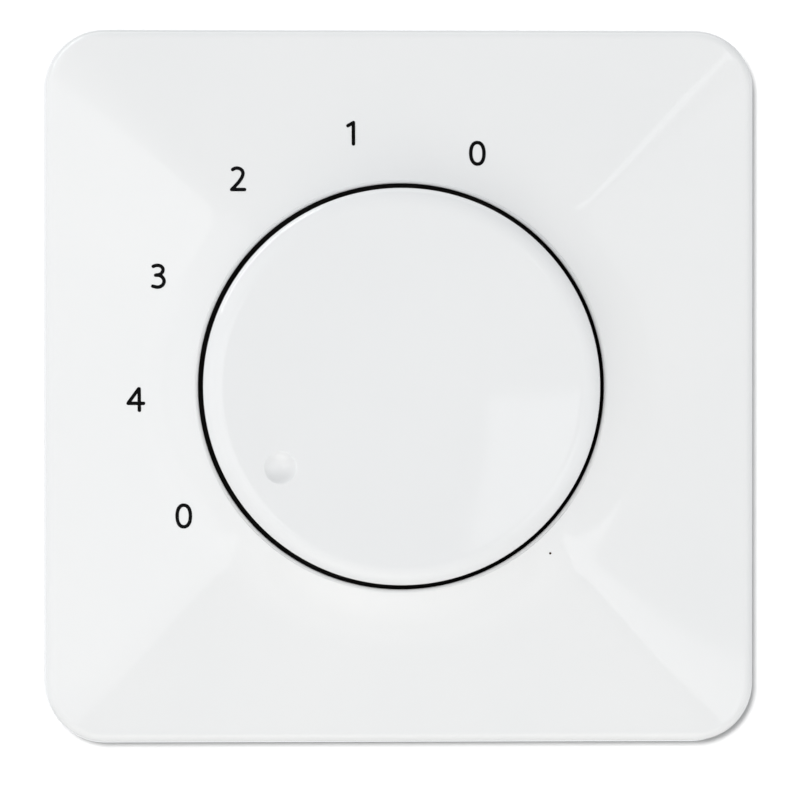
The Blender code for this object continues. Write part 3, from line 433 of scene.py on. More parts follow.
# Two colours that cloud into each other, lowest and highest roughness, and what else sets a material apart
LOOKS = {
    "cover_plastic": plastic(
        [(0.785, 0.788, 0.79), (0.8, 0.8, 0.8)],
        (0.045, 0.07),
        grain_strength=0.04,
    ),
    "knob_plastic": plastic(
        [(0.78, 0.783, 0.788), (0.792, 0.795, 0.798)],
        (0.03, 0.045),
        grain_strength=0.04,
    ),
    "cap_plastic": plastic(
        [(0.5, 0.51, 0.5), (0.56, 0.57, 0.56)],
        (0.4, 0.55),
        grain_size=CAP_GRAIN_SIZE,
        grain_depth=CAP_GRAIN_DEPTH,
        grain_strength=0.3,
    ),
    "base_plastic": plastic(
        [(0.02, 0.02, 0.022), (0.035, 0.035, 0.037)],
        (0.38, 0.6),
        grain_size=BASE_GRAIN_SIZE,
        grain_depth=BASE_GRAIN_DEPTH,
        grain_strength=0.5,
    ),
    "rotor_plastic": plastic([(0.66, 0.65, 0.6), (0.74, 0.73, 0.68)], (0.35, 0.45)),
    "zinc_steel": metal([(0.56, 0.57, 0.58), (0.66, 0.66, 0.65)], (0.3, 0.38), grain_strength=0.12),
    "clamp_steel": metal([(0.5, 0.5, 0.49), (0.66, 0.65, 0.62)], (0.3, 0.5), stretch=(1, 1, 0.2)),
    "screw_steel": metal([(0.5, 0.5, 0.5), (0.68, 0.68, 0.66)], (0.25, 0.45)),
    "spring_steel": metal([(0.36, 0.36, 0.39), (0.5, 0.49, 0.48)], (0.25, 0.4), stretch=(0.1, 1, 1)),
    "nut_brass": metal([(0.66, 0.48, 0.2), (0.8, 0.62, 0.32)], (0.25, 0.45)),
    "contact_brass": metal([(0.68, 0.48, 0.18), (0.82, 0.62, 0.3)], (0.25, 0.45), stretch=(0.2, 1, 1)),
    "contact_bronze": metal([(0.55, 0.3, 0.15), (0.74, 0.45, 0.27)], (0.25, 0.45), stretch=(0.2, 1, 1)),
    # Painted shade: near-black for the white plastic's sides down in the ring, where they lie in shade
    "painted_ring_shade": plastic([(0.01, 0.007, 0.005), (0.02, 0.013, 0.009)], (0.5, 0.7)),
    "number_ink": plastic(
        [(0.002, 0.002, 0.002), (0.005, 0.005, 0.006)],
        (0.3, 0.5),
        grain_size=FILM_GRAIN_SIZE,
        ior=1.1,
    ),
    "dirt": plastic(
        [(0.03, 0.015, 0.01), (0.06, 0.035, 0.025)],
        (0.6, 0.8),
        grain_size=FILM_GRAIN_SIZE,
        ior=1.2,
    ),
    "mark_ink": plastic([(0.7, 0.7, 0.68), (0.78, 0.78, 0.76)], (0.4, 0.6), grain_size=FILM_GRAIN_SIZE),
}
MATERIALS = {name: surface(f"{name}_look", look) for name, look in LOOKS.items()}


# Cover plate
def plate_outline(inset):
    """The plate's outline moved inwards, in PLATE_STEPS points."""
    half_x = PLATE_WIDTH / 2 - inset
    half_y = PLATE_HEIGHT / 2 - inset
    corner = PLATE_CORNER - inset
    side = [(half_x, (half_y - corner) * i / HALF_SIDE_SPANS) for i in range(HALF_SIDE_SPANS)]
    bend = arc(corner, 0, math.pi / 2, CORNER_SPANS, (half_x - corner, half_y - corner))
    end = [((half_x - corner) * i / HALF_SIDE_SPANS, half_y) for i in reversed(range(HALF_SIDE_SPANS))]
    quarter = side + bend + end
    left = [(-x, y) for x, y in quarter[-2::-1]]
    half = quarter + left
    return half + [(-x, -y) for x, y in half[1:-1]]


def facet_height(x, y):
    """Height of the plate's face: four shallow facets, soft hips and a lip that climbs to the aperture."""
    half = PLATE_HEIGHT / 2
    power = HIP_SHARPNESS_SHARE
    across = (abs(x / half) ** power + abs(y / half) ** power) ** (1 / power) * half
    facet = PLATE_EDGE_TOP + FACET_RISE * (half - across) / (half - COLLAR_FOOT)
    near = (COLLAR_FOOT - math.hypot(x, y)) / (COLLAR_FOOT - APERTURE_RADIUS)
    lip = min(max(near, 0), 1) ** COLLAR_CURVE_SHARE
    return facet + (PLATE_EDGE_TOP + COLLAR_RISE - facet) * lip


def face_loops(outer, inner, drop, spans):
    """Loops from one outline to another, some way under the plate's face."""
    loops = []
    for i in range(spans + 1):
        share = i / spans
        outline = [(a + (c - a) * share, b + (d - b) * share) for (a, b), (c, d) in zip(outer, inner)]
        loops.append([Vector((x, y, facet_height(x, y) - drop)) for x, y in outline])
    return loops


def edge_loops(face_edge):
    """The rounded edge between the plate's side and its face."""
    loops = []
    for i in range(EDGE_SPANS):
        angle = math.pi / 2 * i / EDGE_SPANS
        outline = plate_outline(PLATE_DRAFT + PLATE_EDGE_ROUND * (1 - math.cos(angle)))
        sunk = PLATE_EDGE_ROUND * (1 - math.sin(angle))
        pairs = zip(outline, face_edge)
        loops.append([Vector((x, y, facet_height(*edge) - sunk)) for (x, y), edge in pairs])
    return loops


def aperture_loops(lip_radius):
    """The rounded inner edge of the collar."""
    top = facet_height(lip_radius, 0)
    loops = []
    for i in range(1, EDGE_SPANS + 1):
        angle = math.pi / 2 * i / EDGE_SPANS
        radius = lip_radius - COLLAR_ROUND * math.sin(angle)
        loops.append(level(circle(radius, PLATE_STEPS), top - COLLAR_ROUND * (1 - math.cos(angle))))
    return loops


def gap_top():
    """The level at which the collar's rounded edge ends and the well's side begins."""
    return facet_height(APERTURE_RADIUS + COLLAR_ROUND, 0) - COLLAR_ROUND


def paint_ring_shade(piece, bottom, inside, outside):
    """Painted shade: near-black sides in the ring, where the white plastic lies in shade, as far up as the
    collar's rounded edge, between two distances from the axis.
    """
    piece.data.materials.append(MATERIALS["painted_ring_shade"])
    for face in piece.data.polygons:
        out = math.hypot(face.center.x, face.center.z)
        if inside < out < outside and bottom - SEAT < -face.center.y < gap_top():
            face.material_index = 1


def build_cover():
    face_edge = plate_outline(PLATE_DRAFT + PLATE_EDGE_ROUND)
    foot = circle(COLLAR_FOOT, PLATE_STEPS)
    lip_radius = APERTURE_RADIUS + COLLAR_ROUND
    bore = circle(NECK_HOLE_RADIUS, PLATE_STEPS)
    pad = circle(PAD_RADIUS, PLATE_STEPS)
    well = circle(APERTURE_RADIUS, PLATE_STEPS)
    well_outside = circle(APERTURE_RADIUS + WELL_WALL, PLATE_STEPS)

    loops = [level(plate_outline(0), 0)]
    loops += edge_loops(face_edge)
    loops += face_loops(face_edge, foot, 0, FACET_SPANS)
    loops += face_loops(foot, circle(lip_radius, PLATE_STEPS), 0, COLLAR_SPANS)[1:]
    loops += aperture_loops(lip_radius)
    loops += [level(well, FLOOR_TOP), level(bore, FLOOR_TOP)]
    loops += [level(bore, PAD_BOTTOM), level(pad, PAD_BOTTOM), level(pad, FLOOR_BOTTOM)]
    loops.append(level(well_outside, FLOOR_BOTTOM))
    inside = face_loops(plate_outline(PLATE_WALL + PLATE_DRAFT), well_outside, PLATE_WALL, INSIDE_SPANS)
    loops += reversed(inside)
    loops.append(level(plate_outline(PLATE_WALL), 0))
    mesh = loft("cover", loops, ring=True)
    look = MATERIALS["cover_plastic"]
    cover = add_piece("cover_face", mesh, look, "housing", ["cover_plate"])
    # Painted shade on the well's sides and floor
    paint_ring_shade(cover, FLOOR_TOP, 0, APERTURE_RADIUS + SEAT)


# Knob
def d_outline(radius, flat, steps):
    """A circle cut off by a flat on the dimple's side, with one point for each step."""
    outline = []
    for i in range(steps):
        angle = math.tau * i / steps
        towards_flat = math.cos(angle - DIMPLE_ANGLE)
        reach = flat / towards_flat if radius * towards_flat > flat else radius
        outline.append((reach * math.cos(angle), reach * math.sin(angle)))
    return outline


def dimple_loops():
    """The dimple, from its middle to its rounded rim."""
    radius = (DIMPLE_RADIUS**2 + DIMPLE_DEPTH**2) / (2 * DIMPLE_DEPTH)
    slope = math.asin(DIMPLE_RADIUS / radius)
    place = (DIMPLE_OUT * math.cos(DIMPLE_ANGLE), DIMPLE_OUT * math.sin(DIMPLE_ANGLE))
    bottom = KNOB_TOP - DIMPLE_DEPTH
    run = DIMPLE_RIM_ROUND * math.tan(slope / 2)
    edge = math.asin((DIMPLE_RADIUS - run * math.cos(slope)) / radius)
    loops = []
    for i in range(1, BOWL_SPANS + 1):
        angle = edge * i / BOWL_SPANS
        height = bottom + radius * (1 - math.cos(angle))
        loops.append(level(circle(radius * math.sin(angle), KNOB_STEPS, place), height))
    rim = DIMPLE_RADIUS + run
    for i in range(1, CAP_SPANS + 1):
        angle = slope * (1 - i / CAP_SPANS)
        out = rim - DIMPLE_RIM_ROUND * math.sin(angle)
        height = KNOB_TOP - DIMPLE_RIM_ROUND * (1 - math.cos(angle))
        loops.append(level(circle(out, KNOB_STEPS, place), height))
    return loops


def build_knob():
    loops = dimple_loops()
    for i in range(EDGE_SPANS + 1):
        angle = math.pi / 2 * (1 - i / EDGE_SPANS)
        radius = KNOB_RADIUS - KNOB_EDGE_REACH * (1 - math.cos(angle))
        height = KNOB_TOP - KNOB_EDGE_ROUND * (1 - math.sin(angle))
        loops.append(level(circle(radius, KNOB_STEPS), height))
    skirt = circle(KNOB_RADIUS - KNOB_WALL, KNOB_STEPS)
    hub = circle(KNOB_HUB_RADIUS, KNOB_STEPS)
    bore = d_outline(KNOB_BORE_RADIUS, KNOB_BORE_FLAT, KNOB_STEPS)
    loops.append(level(circle(KNOB_RADIUS, KNOB_STEPS), gap_top()))
    loops.append(level(circle(KNOB_RADIUS, KNOB_STEPS), KNOB_BOTTOM))
    loops += [level(skirt, KNOB_BOTTOM), level(skirt, KNOB_CEILING), level(hub, KNOB_CEILING)]
    loops += [level(hub, HUB_BOTTOM), level(bore, HUB_BOTTOM), level(bore, KNOB_BORE_TOP)]
    mesh = loft("knob", loops)
    ribs = []
    half = KNOB_RIB_THICKNESS / 2
    inner = math.sqrt(KNOB_HUB_RADIUS**2 - half**2) - half
    outer = KNOB_RADIUS - KNOB_WALL + half
    for i in range(KNOB_RIBS):
        rib = box_mesh("rib", (inner, -half, RIB_BOTTOM), (outer, half, KNOB_CEILING + half))
        rib.transform(Matrix.Rotation(math.tau * (i + 1 / 2) / KNOB_RIBS, 4, "Z"))
        ribs.append(rib)
    mesh = changed(mesh, ribs, "UNION")
    knob = add_piece("knob_face", mesh, MATERIALS["knob_plastic"], "dial", ["knob"])
    # Painted shade on the knob's side down in the well
    paint_ring_shade(knob, KNOB_BOTTOM, KNOB_RADIUS - SEAT, APERTURE_RADIUS)


# Numbers
def smooth_path(points):
    """A smooth run through the points, with NUMBER_SPANS spans between each pair."""
    if len(points) < 3:
        return [Vector(point) for point in points]
    nodes = [Vector(point) for point in points]
    nodes = [2 * nodes[0] - nodes[1], *nodes, 2 * nodes[-1] - nodes[-2]]
    path = []
    for before, start, end, after in zip(nodes, nodes[1:], nodes[2:], nodes[3:]):
        for i in range(NUMBER_SPANS):
            t = i / NUMBER_SPANS
            bend = 2 * before - 5 * start + 4 * end - after
            turn = 3 * (start - end) + after - before
            path.append(start + ((end - before) * t + bend * t**2 + turn * t**3) / 2)
    return [*path, nodes[-2]]


def stroke_outline(points, width):
    """The outline of a pen stroke with round ends."""
    path = smooth_path(points)
    half = width / 2
    runs = [(b - a).normalized() for a, b in zip(path, path[1:])]
    left, right = [], []
    for i, point in enumerate(path):
        along = (runs[max(i - 1, 0)] + runs[min(i, len(runs) - 1)]).normalized()
        out = Vector((-along.y, along.x)) * half
        left.append(tuple(point + out))
        right.append(tuple(point - out))
    start = math.atan2(runs[0].y, runs[0].x) + math.pi / 2
    end = math.atan2(runs[-1].y, runs[-1].x) - math.pi / 2
    first = arc(half, start, start + math.pi, 2 * CAP_SPANS, tuple(path[0]))[1:-1]
    last = arc(half, end, end + math.pi, 2 * CAP_SPANS, tuple(path[-1]))[1:-1]
    return right + last + left[::-1] + first


def zero_outline(offset):
    """A zero's outline, moved outwards from the middle of its stroke."""
    half_x = NUMBER_HEIGHT * ZERO_HALF_WIDTH_SHARE + offset
    half_y = NUMBER_HEIGHT * ZERO_HALF_HEIGHT_SHARE + offset
    power = 2 / ZERO_SQUARENESS_SHARE
    outline = []
    for i in range(ZERO_STEPS):
        angle = math.tau * i / ZERO_STEPS
        c, s = math.cos(angle), math.sin(angle)
        x = half_x * math.copysign(abs(c) ** power, c)
        y = half_y * math.copysign(abs(s) ** power, s)
        outline.append((x, y))
    return outline


def flat_number(number):
    """A number's flat shape about its middle: points, and triangles between them."""
    if number == "0":
        outer = zero_outline(NUMBER_STROKE / 2)
        inner = zero_outline(-NUMBER_STROKE / 2)
        count = len(outer)
        faces = []
        for i in range(count):
            j = (i + 1) % count
            faces += [(i, j, count + j), (i, count + j, count + i)]
        return outer + inner, faces
    points, outlines = [], []
    for stroke in NUMBER_STROKES_SHARE[number]:
        scaled = [(x * NUMBER_HEIGHT, y * NUMBER_HEIGHT) for x, y in stroke]
        outline = stroke_outline(scaled, NUMBER_STROKE)
        outlines.append(list(range(len(points), len(points) + len(outline))))
        points += outline
    filled = geometry.delaunay_2d_cdt([Vector(p) for p in points], [], outlines, 1, CLOSEST_POINTS)
    corners, _, faces, _, _, outlines_of_faces = filled
    faces = [face for face, inside in zip(faces, outlines_of_faces) if inside]
    return [tuple(point) for point in corners], faces


def film_mesh(name, flat, place, height_at):
    """A flat shape as a thin film that follows the surface under it."""
    points, faces = flat
    work = bmesh.new()
    tops, roots = [], []
    for x, y in points:
        x, y = x + place[0], y + place[1]
        tops.append(work.verts.new((x, y, height_at(x, y) + FILM_LIFT)))
        roots.append(work.verts.new((x, y, height_at(x, y) - FILM_ROOT)))
    edges = {}
    for face in faces:
        work.faces.new([tops[i] for i in face])
        work.faces.new([roots[i] for i in reversed(face)])
        for i, j in zip(face, [*face[1:], face[0]]):
            edges[(i, j)] = edges.get((j, i), 0) + 1
    for i, j in edges:
        if (j, i) not in edges:
            work.faces.new((tops[j], tops[i], roots[i], roots[j]))
    loose = [vert for vert in work.verts if not vert.link_faces]
    bmesh.ops.delete(work, geom=loose, context="VERTS")
    bmesh.ops.recalc_face_normals(work, faces=work.faces)
    mesh = bpy.data.meshes.new(name)
    work.to_mesh(mesh)
    work.free()
    return mesh


def build_numbers():
    for name, number, angle, out in NUMBER_PLACES:
        place = (out * math.cos(angle), out * math.sin(angle))
        mesh = film_mesh(name, flat_number(number), place, facet_height)
        add_piece(name, mesh, MATERIALS["number_ink"], "housing")


def build_dirt_speck():
    speck = (circle(DIRT_SPECK_RADIUS, CAP_SPANS), [tuple(range(CAP_SPANS))])
    mesh = film_mesh("dirt_speck", speck, DIRT_SPECK_PLACE, facet_height)
    add_piece("dirt_speck", mesh, MATERIALS["dirt"], "housing")


def build_terminal_marks():
    """A number at each speed terminal and an arrow at the line terminal, printed on the back of the base."""
    back = -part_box("switch_base")[1][1]
    for terminal, x, side in TERMINAL_PLACES:
        name = f"{terminal}_mark"
        mark = terminal[-1] if terminal[-1] in NUMBER_STROKES_SHARE else "arrow"
        mesh = film_mesh(name, flat_number(mark), (0, 0), lambda x, y: 0)
        mesh.transform(Matrix.Diagonal((TERMINAL_MARK_SHARE, TERMINAL_MARK_SHARE, 1, 1)))
        place = (x, side * TERMINAL_MARK_OUT, back)
        mesh.transform(Matrix.Translation(place) @ Matrix.Rotation(math.pi, 4, "Y"))
        add_piece(name, mesh, MATERIALS["mark_ink"], "housing")


# Screws
def screw_mesh(name, head_radius, head, radius, length, pitch, countersunk=False):
    """A slotted screw that points down -Z, with the top of its head at the origin."""
    dome = head * HEAD_DOME_SHARE
    edge = DRIVE_SLOT_DEPTH * HEAD_EDGE_SHARE
    loops = []
    for share in HEAD_RINGS_SHARE:
        loops.append(level(circle(head_radius * share, SCREW_STEPS), -dome * share**3))
    loops.append(level(circle(head_radius * HEAD_RIM_SHARE, SCREW_STEPS), -dome))
    loops.append(level(circle(head_radius, SCREW_STEPS), -dome - edge))
    if not countersunk:
        loops.append(level(circle(head_radius, SCREW_STEPS), edge - head))
        loops.append(level(circle(head_radius * HEAD_UNDERSIDE_SHARE, SCREW_STEPS), -head))
    depth = pitch * THREAD_DEPTH_SHARE
    root = radius - depth
    loops.append(level(circle(radius if countersunk else root, SCREW_STEPS), -head))
    rows = round(length / pitch * THREAD_ROWS_A_TURN)
    for row in range(1, rows):
        down = length * row / rows
        ends = min(1, down / pitch, (length - down) / pitch)
        loop = []
        for i in range(SCREW_STEPS):
            phase = (down / pitch + i / SCREW_STEPS) % 1
            ridge = min(max(THREAD_CREST_SHARE * (1 - abs(2 * phase - 1)) - THREAD_ROOT_SHARE, 0), 1) * ends
            angle = math.tau * i / SCREW_STEPS
            reach = root + depth * ridge
            loop.append(Vector((reach * math.cos(angle), reach * math.sin(angle), -head - down)))
        loops.append(loop)
    loops.append(level(circle(root * SCREW_POINT_SHARE, SCREW_STEPS), -head - length))
    reach = head_radius + OVERRUN
    half = DRIVE_SLOT_WIDTH / 2
    slot = box_mesh("slot", (-reach, -half, -DRIVE_SLOT_DEPTH), (reach, half, OVERRUN))
    return changed(loft(name, loops), [slot], "DIFFERENCE")


def place_screw(name, mesh, place, tilt=0.0):
    copy = mesh.copy()
    copy.transform(Matrix.Translation(place) @ Matrix.Rotation(tilt, 4, "X"))
    add_piece(f"{name}_threaded", copy, MATERIALS["screw_steel"], "housing", [name])


def build_screws():
    box = screw_mesh(
        "box_screw",
        BOX_SCREW_HEAD_RADIUS,
        BOX_SCREW_HEAD,
        BOX_SCREW_RADIUS,
        BOX_SCREW_LENGTH,
        BOX_SCREW_PITCH,
    )
    plate = screw_mesh(
        "plate_screw",
        PLATE_SCREW_HEAD_RADIUS,
        PLATE_SCREW_HEAD,
        PLATE_SCREW_RADIUS,
        PLATE_SCREW_LENGTH,
        PLATE_SCREW_PITCH,
        countersunk=True,
    )
    for number, side in enumerate((-1, 1), start=1):
        place_screw(f"box_screw_{number}", box, (side * BOX_SCREW_OUT, 0, BOX_SCREW_TOP))
        place_screw(f"plate_screw_{number}", plate, (side * PLATE_SCREW_OUT, 0, PLATE_SCREW_TOP))
    housing = screw_mesh(
        "housing_screw",
        HOUSING_SCREW_HEAD_RADIUS,
        HOUSING_SCREW_HEAD,
        HOUSING_SCREW_RADIUS,
        HOUSING_SCREW_LENGTH,
        HOUSING_SCREW_PITCH,
    )
    corners = [(x * HOUSING_SCREW_OUT, y * HOUSING_SCREW_OUT) for x in (-1, 1) for y in (-1, 1)]
    for number, (x, y) in enumerate(corners, start=1):
        place_screw(f"housing_screw_{number}", housing, (x, y, HOUSING_SCREW_TOP))
    terminal = screw_mesh(
        "terminal_screw",
        TERMINAL_SCREW_HEAD_RADIUS,
        TERMINAL_SCREW_HEAD,
        TERMINAL_SCREW_RADIUS,
        TERMINAL_SCREW_LENGTH,
        TERMINAL_SCREW_PITCH,
    )
    for name, x, side in TERMINAL_PLACES:
        place = (x, side * TERMINAL_SCREW_OUT, TERMINAL_LEVEL)
        place_screw(f"{name}_screw", terminal, place, -side * math.pi / 2)


# Finish of the CAD pieces
BEVELS = {
    "mounting_plate": 0.0001,
    "switch_cap": 0.00015,
    "switch_base": 0.0002,
    "rotor": 0.00012,
    "shaft_nut": 0.00015,
    "lock_washer": 0.00006,
    "contact_bridge": 0.00005,
    "common_contact": 0.00008,
    "speed_contact": 0.00008,
    "clamp": 0.00015,
}


def weld_group():
    """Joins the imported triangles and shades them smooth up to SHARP_ANGLE."""
    group = bpy.data.node_groups.new("weld_and_shade", "GeometryNodeTree")
    group.is_modifier = True
    group.interface.new_socket("Geometry", in_out="INPUT", socket_type="NodeSocketGeometry")
    group.interface.new_socket("Geometry", in_out="OUTPUT", socket_type="NodeSocketGeometry")
    nodes, links = group.nodes, group.links
    start = nodes.new("NodeGroupInput")
    end = nodes.new("NodeGroupOutput")
    plain = nodes.new("GeometryNodeRemoveAttribute")
    plain.inputs["Name"].default_value = "custom_normal"
    weld = nodes.new("GeometryNodeMergeByDistance")
    weld.inputs["Distance"].default_value = WELD_DISTANCE
    smooth = nodes.new("GeometryNodeSetShadeSmooth")
    smooth.domain = "FACE"
    smooth.inputs["Shade Smooth"].default_value = True
    bend = nodes.new("GeometryNodeInputMeshEdgeAngle")
    above = nodes.new("FunctionNodeCompare")
    above.operation = "GREATER_THAN"
    above.inputs["B"].default_value = SHARP_ANGLE
    crease = nodes.new("GeometryNodeSetShadeSmooth")
    crease.domain = "EDGE"
    crease.inputs["Shade Smooth"].default_value = False
    links.new(start.outputs["Geometry"], plain.inputs["Geometry"])
    links.new(plain.outputs["Geometry"], weld.inputs["Geometry"])
    links.new(weld.outputs["Geometry"], smooth.inputs["Geometry"])
    links.new(smooth.outputs["Geometry"], crease.inputs["Geometry"])
    links.new(bend.outputs["Unsigned Angle"], above.inputs["A"])
    links.new(above.outputs["Result"], crease.inputs["Selection"])
    links.new(crease.outputs["Geometry"], end.inputs["Geometry"])
    return group


def finish_cad_pieces():
    slots = {part["node"]: part["material_slot"] for part in frame["record"]["subparts"]}
    group = weld_group()
    for name, item in frame["nodes"].items():
        if item.hide_render:
            continue
        item.data.materials.clear()
        item.data.materials.append(MATERIALS[slots[name]])
        item.modifiers.new("weld", "NODES").node_group = group
        width = next((size for part, size in BEVELS.items() if part in name), None)
        if width:
            flat = item.modifiers.new("flat", "DECIMATE")
            flat.decimate_type = "DISSOLVE"
            flat.angle_limit = FLAT_ANGLE
            bevel = item.modifiers.new("bevel", "BEVEL")
            bevel.width = width
            bevel.segments = 2
            bevel.limit_method = "ANGLE"
            bevel.angle_limit = SHARP_ANGLE
            bevel.harden_normals = True


# Stage
def flat_material(name, colour, glow=0.0):
    made = bpy.data.materials.new(name)
    made.use_nodes = True
    shader = made.node_tree.nodes["Principled BSDF"]
    shader.inputs["Base Color"].default_value = (*colour, 1)
    shader.inputs["Roughness"].default_value = 1.0
    shader.inputs["Specular IOR Level"].default_value = 0.0
    shader.inputs["Emission Color"].default_value = (1, 1, 1, 1)
    shader.inputs["Emission Strength"].default_value = glow
    return made


WALL_HALF = 0.25
WALL_HOLE_SPREAD = 0.00003
WALL_HOLE_SHIFT = 0.0001
WALL_COLOUR = (0.45, 0.45, 0.45)
WALL_GLOW = 0.03
FLOOR_LEVEL = -1.0
FLOOR_HALF = 2.0
FLOOR_COLOUR = (0.85, 0.85, 0.84)


def build_stage():
    """A white wall that begins at the plate's outline, and a pale floor."""
    hole = [(x + WALL_HOLE_SHIFT, y - WALL_HOLE_SHIFT) for x, y in plate_outline(-WALL_HOLE_SPREAD)]
    outer = []
    for x, y in hole:
        stretch = WALL_HALF / max(abs(x), abs(y))
        outer.append((x * stretch, y * stretch))
    work = bmesh.new()
    inner_row = [work.verts.new((x, y, 0)) for x, y in hole]
    outer_row = [work.verts.new((x, y, 0)) for x, y in outer]
    for i in range(len(hole)):
        j = (i + 1) % len(hole)
        work.faces.new((inner_row[i], outer_row[i], outer_row[j], inner_row[j]))
    mesh = bpy.data.meshes.new("studio_wall")
    work.to_mesh(mesh)
    work.free()
    mesh.transform(STAND)
    mesh.materials.append(flat_material("wall_paint", WALL_COLOUR, WALL_GLOW))
    wall = bpy.data.objects.new("studio_wall", mesh)
    floor_low = (-FLOOR_HALF, -FLOOR_HALF, FLOOR_LEVEL - OVERRUN)
    floor_mesh = box_mesh("studio_floor", floor_low, (FLOOR_HALF, FLOOR_HALF, FLOOR_LEVEL))
    floor_mesh.materials.append(flat_material("floor_paint", FLOOR_COLOUR))
    floor = bpy.data.objects.new("studio_floor", floor_mesh)
    for item in (wall, floor):
        bpy.context.scene.collection.objects.link(item)
    # The wall isn't mirrored in the part, and it neither lights nor shades it
    wall.visible_glossy = False
    wall.visible_diffuse = False
    wall.visible_shadow = False


# Light and camera
CAMERA_AZIMUTH = math.radians(-2.3)
CAMERA_ELEVATION = math.radians(0.6)
CAMERA_DISTANCE = 0.75
NEAREST_SEEN = 0.0075
PICTURE_PIXELS = 800
PIXELS_A_METRE = 8664
SENSOR_WIDTH = 36
AIM_RIGHT = 0.00023
AIM_UP = -0.00166
# The tent's brightness, from its lower to its upper part, and the heights between which it changes as shares
TENT_BRIGHTNESS = (0.965, 0.43)
TENT_HEIGHT_SHARES = (0.1, 0.8)
TENT_COLOUR = (0.965, 0.985, 1)

# How a light's brightness spreads: even all over, or fading from its middle to its edge
EVEN = math.pi
FADING = math.radians(70)
# Name, place, size, brightness and colour of each light, and the piece that it keeps to or leaves out
LIGHTS = [
    ("wall_key", (-0.145, -1.2, 0.135), (0.145, 0.145), 360.0, (1, 1, 1), "INCLUDE", "studio_wall"),
    ("side_left", (-0.68, -0.09, 0.68), (0.14, 0.8), 7.0, (0.97, 0.985, 1), "EXCLUDE", "studio_wall"),
    ("rear_left", (-0.5, 0.8, 0.5), (0.6, 0.5), 7.5, (1, 1, 1), "EXCLUDE", "cover_face"),
    ("rear_right", (0.55, 0.75, 0.15), (0.4, 0.6), 4.0, (1, 0.99, 0.97), "EXCLUDE", "cover_face"),
]
# Cards of light round the part: name, degrees that it covers across and up, spread, brightness and colour
CARD_DISTANCE = 0.66
CARDS = [
    ("low_front", (-42, 28), (-80, -10), FADING, 1.6, (1, 0.96, 0.91)),
    ("overhead", (-35, 35), (84, 108), EVEN, 1.1, (1, 1, 1)),
    ("wing_left", (-70, -6), (-36, 28), FADING, 0.55, (1, 1, 1)),
    ("wing_right", (6, 70), (-36, 28), FADING, 0.5, (0.97, 0.985, 1)),
    ("card_left", (-22, -7), (-16, 6.5), EVEN, 0.8, (1, 1, 0.99)),
    ("card_far_left", (-30, -22), (-13, 6.5), EVEN, 0.45, (1, 1, 1)),
    ("card_right", (16, 26), (-5.8, 6.5), EVEN, 0.3, (0.97, 0.985, 1)),
    ("card_low_right", (11, 26), (-16, -5.8), EVEN, 1.1, (1, 1, 1)),
    ("card_high_right", (13, 15.5), (8, 13.5), EVEN, 1.1, (1, 1, 1)),
    ("card_knob", (4.3, 8.4), (-5.6, -0.7), EVEN, 0.9, (0.97, 0.985, 1)),
]


def seen_from(azimuth, elevation, distance):
    """A place in front of the part, by its angles and its distance from the origin."""
    out = distance * math.cos(elevation)
    return (out * math.sin(azimuth), -out * math.cos(azimuth), distance * math.sin(elevation))


def add_light(name, place, size, spread, brightness, colour):
    """A rectangle of light that faces the part and that the camera doesn't see."""
    data = bpy.data.lights.new(name, "AREA")
    data.shape = "RECTANGLE"
    data.size, data.size_y = size
    data.spread = spread
    # The power that gives the light this brightness straight ahead, whatever its spread
    reach = math.tan(spread / 2)
    data.energy = brightness * math.pi * size[0] * size[1] * (reach - spread / 2) / reach
    data.color = colour
    light = bpy.data.objects.new(name, data)
    light.location = place
    light.rotation_mode = "QUATERNION"
    light.rotation_quaternion = Vector(place).to_track_quat("Z", "Y")
    light.visible_camera = False
    bpy.context.scene.collection.objects.link(light)
    return light


def limit_light(light, state, piece):
    """Lets a light fall on one piece alone, INCLUDE, or on everything else, EXCLUDE."""
    linked = bpy.data.collections.new(f"{light.name}_link")
    linked.objects.link(bpy.data.objects[piece])
    linked.collection_objects[0].light_linking.link_state = state
    light.light_linking.receiver_collection = linked


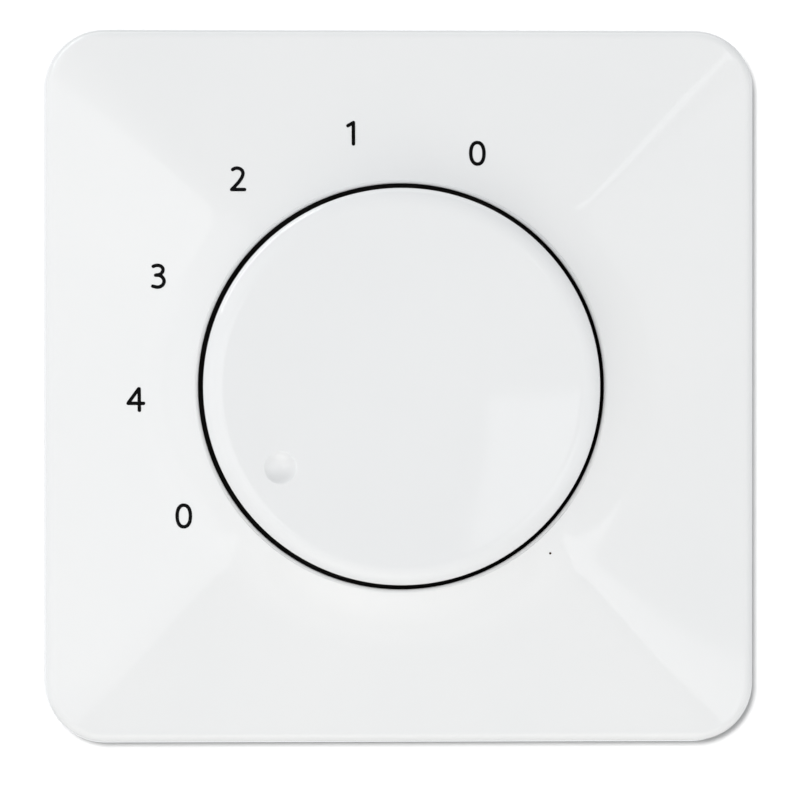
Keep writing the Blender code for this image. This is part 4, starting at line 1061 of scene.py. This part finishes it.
def build_lights():
    """A tent that is darker towards its top, and lights that keep to one piece or leave it out."""
    world = bpy.data.worlds.new("studio")
    world.use_nodes = True
    tree = world.node_tree
    tent = tree.nodes["Background"]
    tent.inputs["Color"].default_value = (*TENT_COLOUR, 1)
    towards = tree.nodes.new("ShaderNodeTexCoord")
    height = tree.nodes.new("ShaderNodeSeparateXYZ")
    shade = tree.nodes.new("ShaderNodeMapRange")
    shade.inputs["From Min"].default_value, shade.inputs["From Max"].default_value = TENT_HEIGHT_SHARES
    shade.inputs["To Min"].default_value, shade.inputs["To Max"].default_value = TENT_BRIGHTNESS
    tree.links.new(towards.outputs["Generated"], height.inputs["Vector"])
    tree.links.new(height.outputs["Z"], shade.inputs["Value"])
    tree.links.new(shade.outputs["Result"], tent.inputs["Strength"])
    bpy.context.scene.world = world
    for name, place, size, brightness, colour, state, piece in LIGHTS:
        limit_light(add_light(name, place, size, EVEN, brightness, colour), state, piece)
    for name, across, up, spread, brightness, colour in CARDS:
        left, right, low, high = (math.radians(angle) for angle in (*across, *up))
        place = seen_from((left + right) / 2, (low + high) / 2, CARD_DISTANCE)
        size = [2 * CARD_DISTANCE * math.tan(angle / 2) for angle in (right - left, high - low)]
        limit_light(add_light(name, place, size, spread, brightness, colour), "EXCLUDE", "studio_wall")


def build_camera():
    data = bpy.data.cameras.new("camera")
    data.sensor_width = SENSOR_WIDTH
    data.lens = SENSOR_WIDTH / PICTURE_PIXELS * PIXELS_A_METRE * CAMERA_DISTANCE
    data.clip_start = NEAREST_SEEN
    camera = bpy.data.objects.new("camera", data)
    camera.location = seen_from(CAMERA_AZIMUTH, CAMERA_ELEVATION, CAMERA_DISTANCE)
    aim = Vector((AIM_RIGHT, 0, AIM_UP))
    camera.rotation_mode = "QUATERNION"
    camera.rotation_quaternion = (camera.location - aim).to_track_quat("Z", "Y")
    bpy.context.scene.collection.objects.link(camera)
    bpy.context.scene.camera = camera
    bpy.context.scene.view_settings.view_transform = "Standard"


build_cover()
build_knob()
build_numbers()
build_dirt_speck()
build_terminal_marks()
build_screws()
finish_cad_pieces()
build_stage()
build_lights()
build_camera()
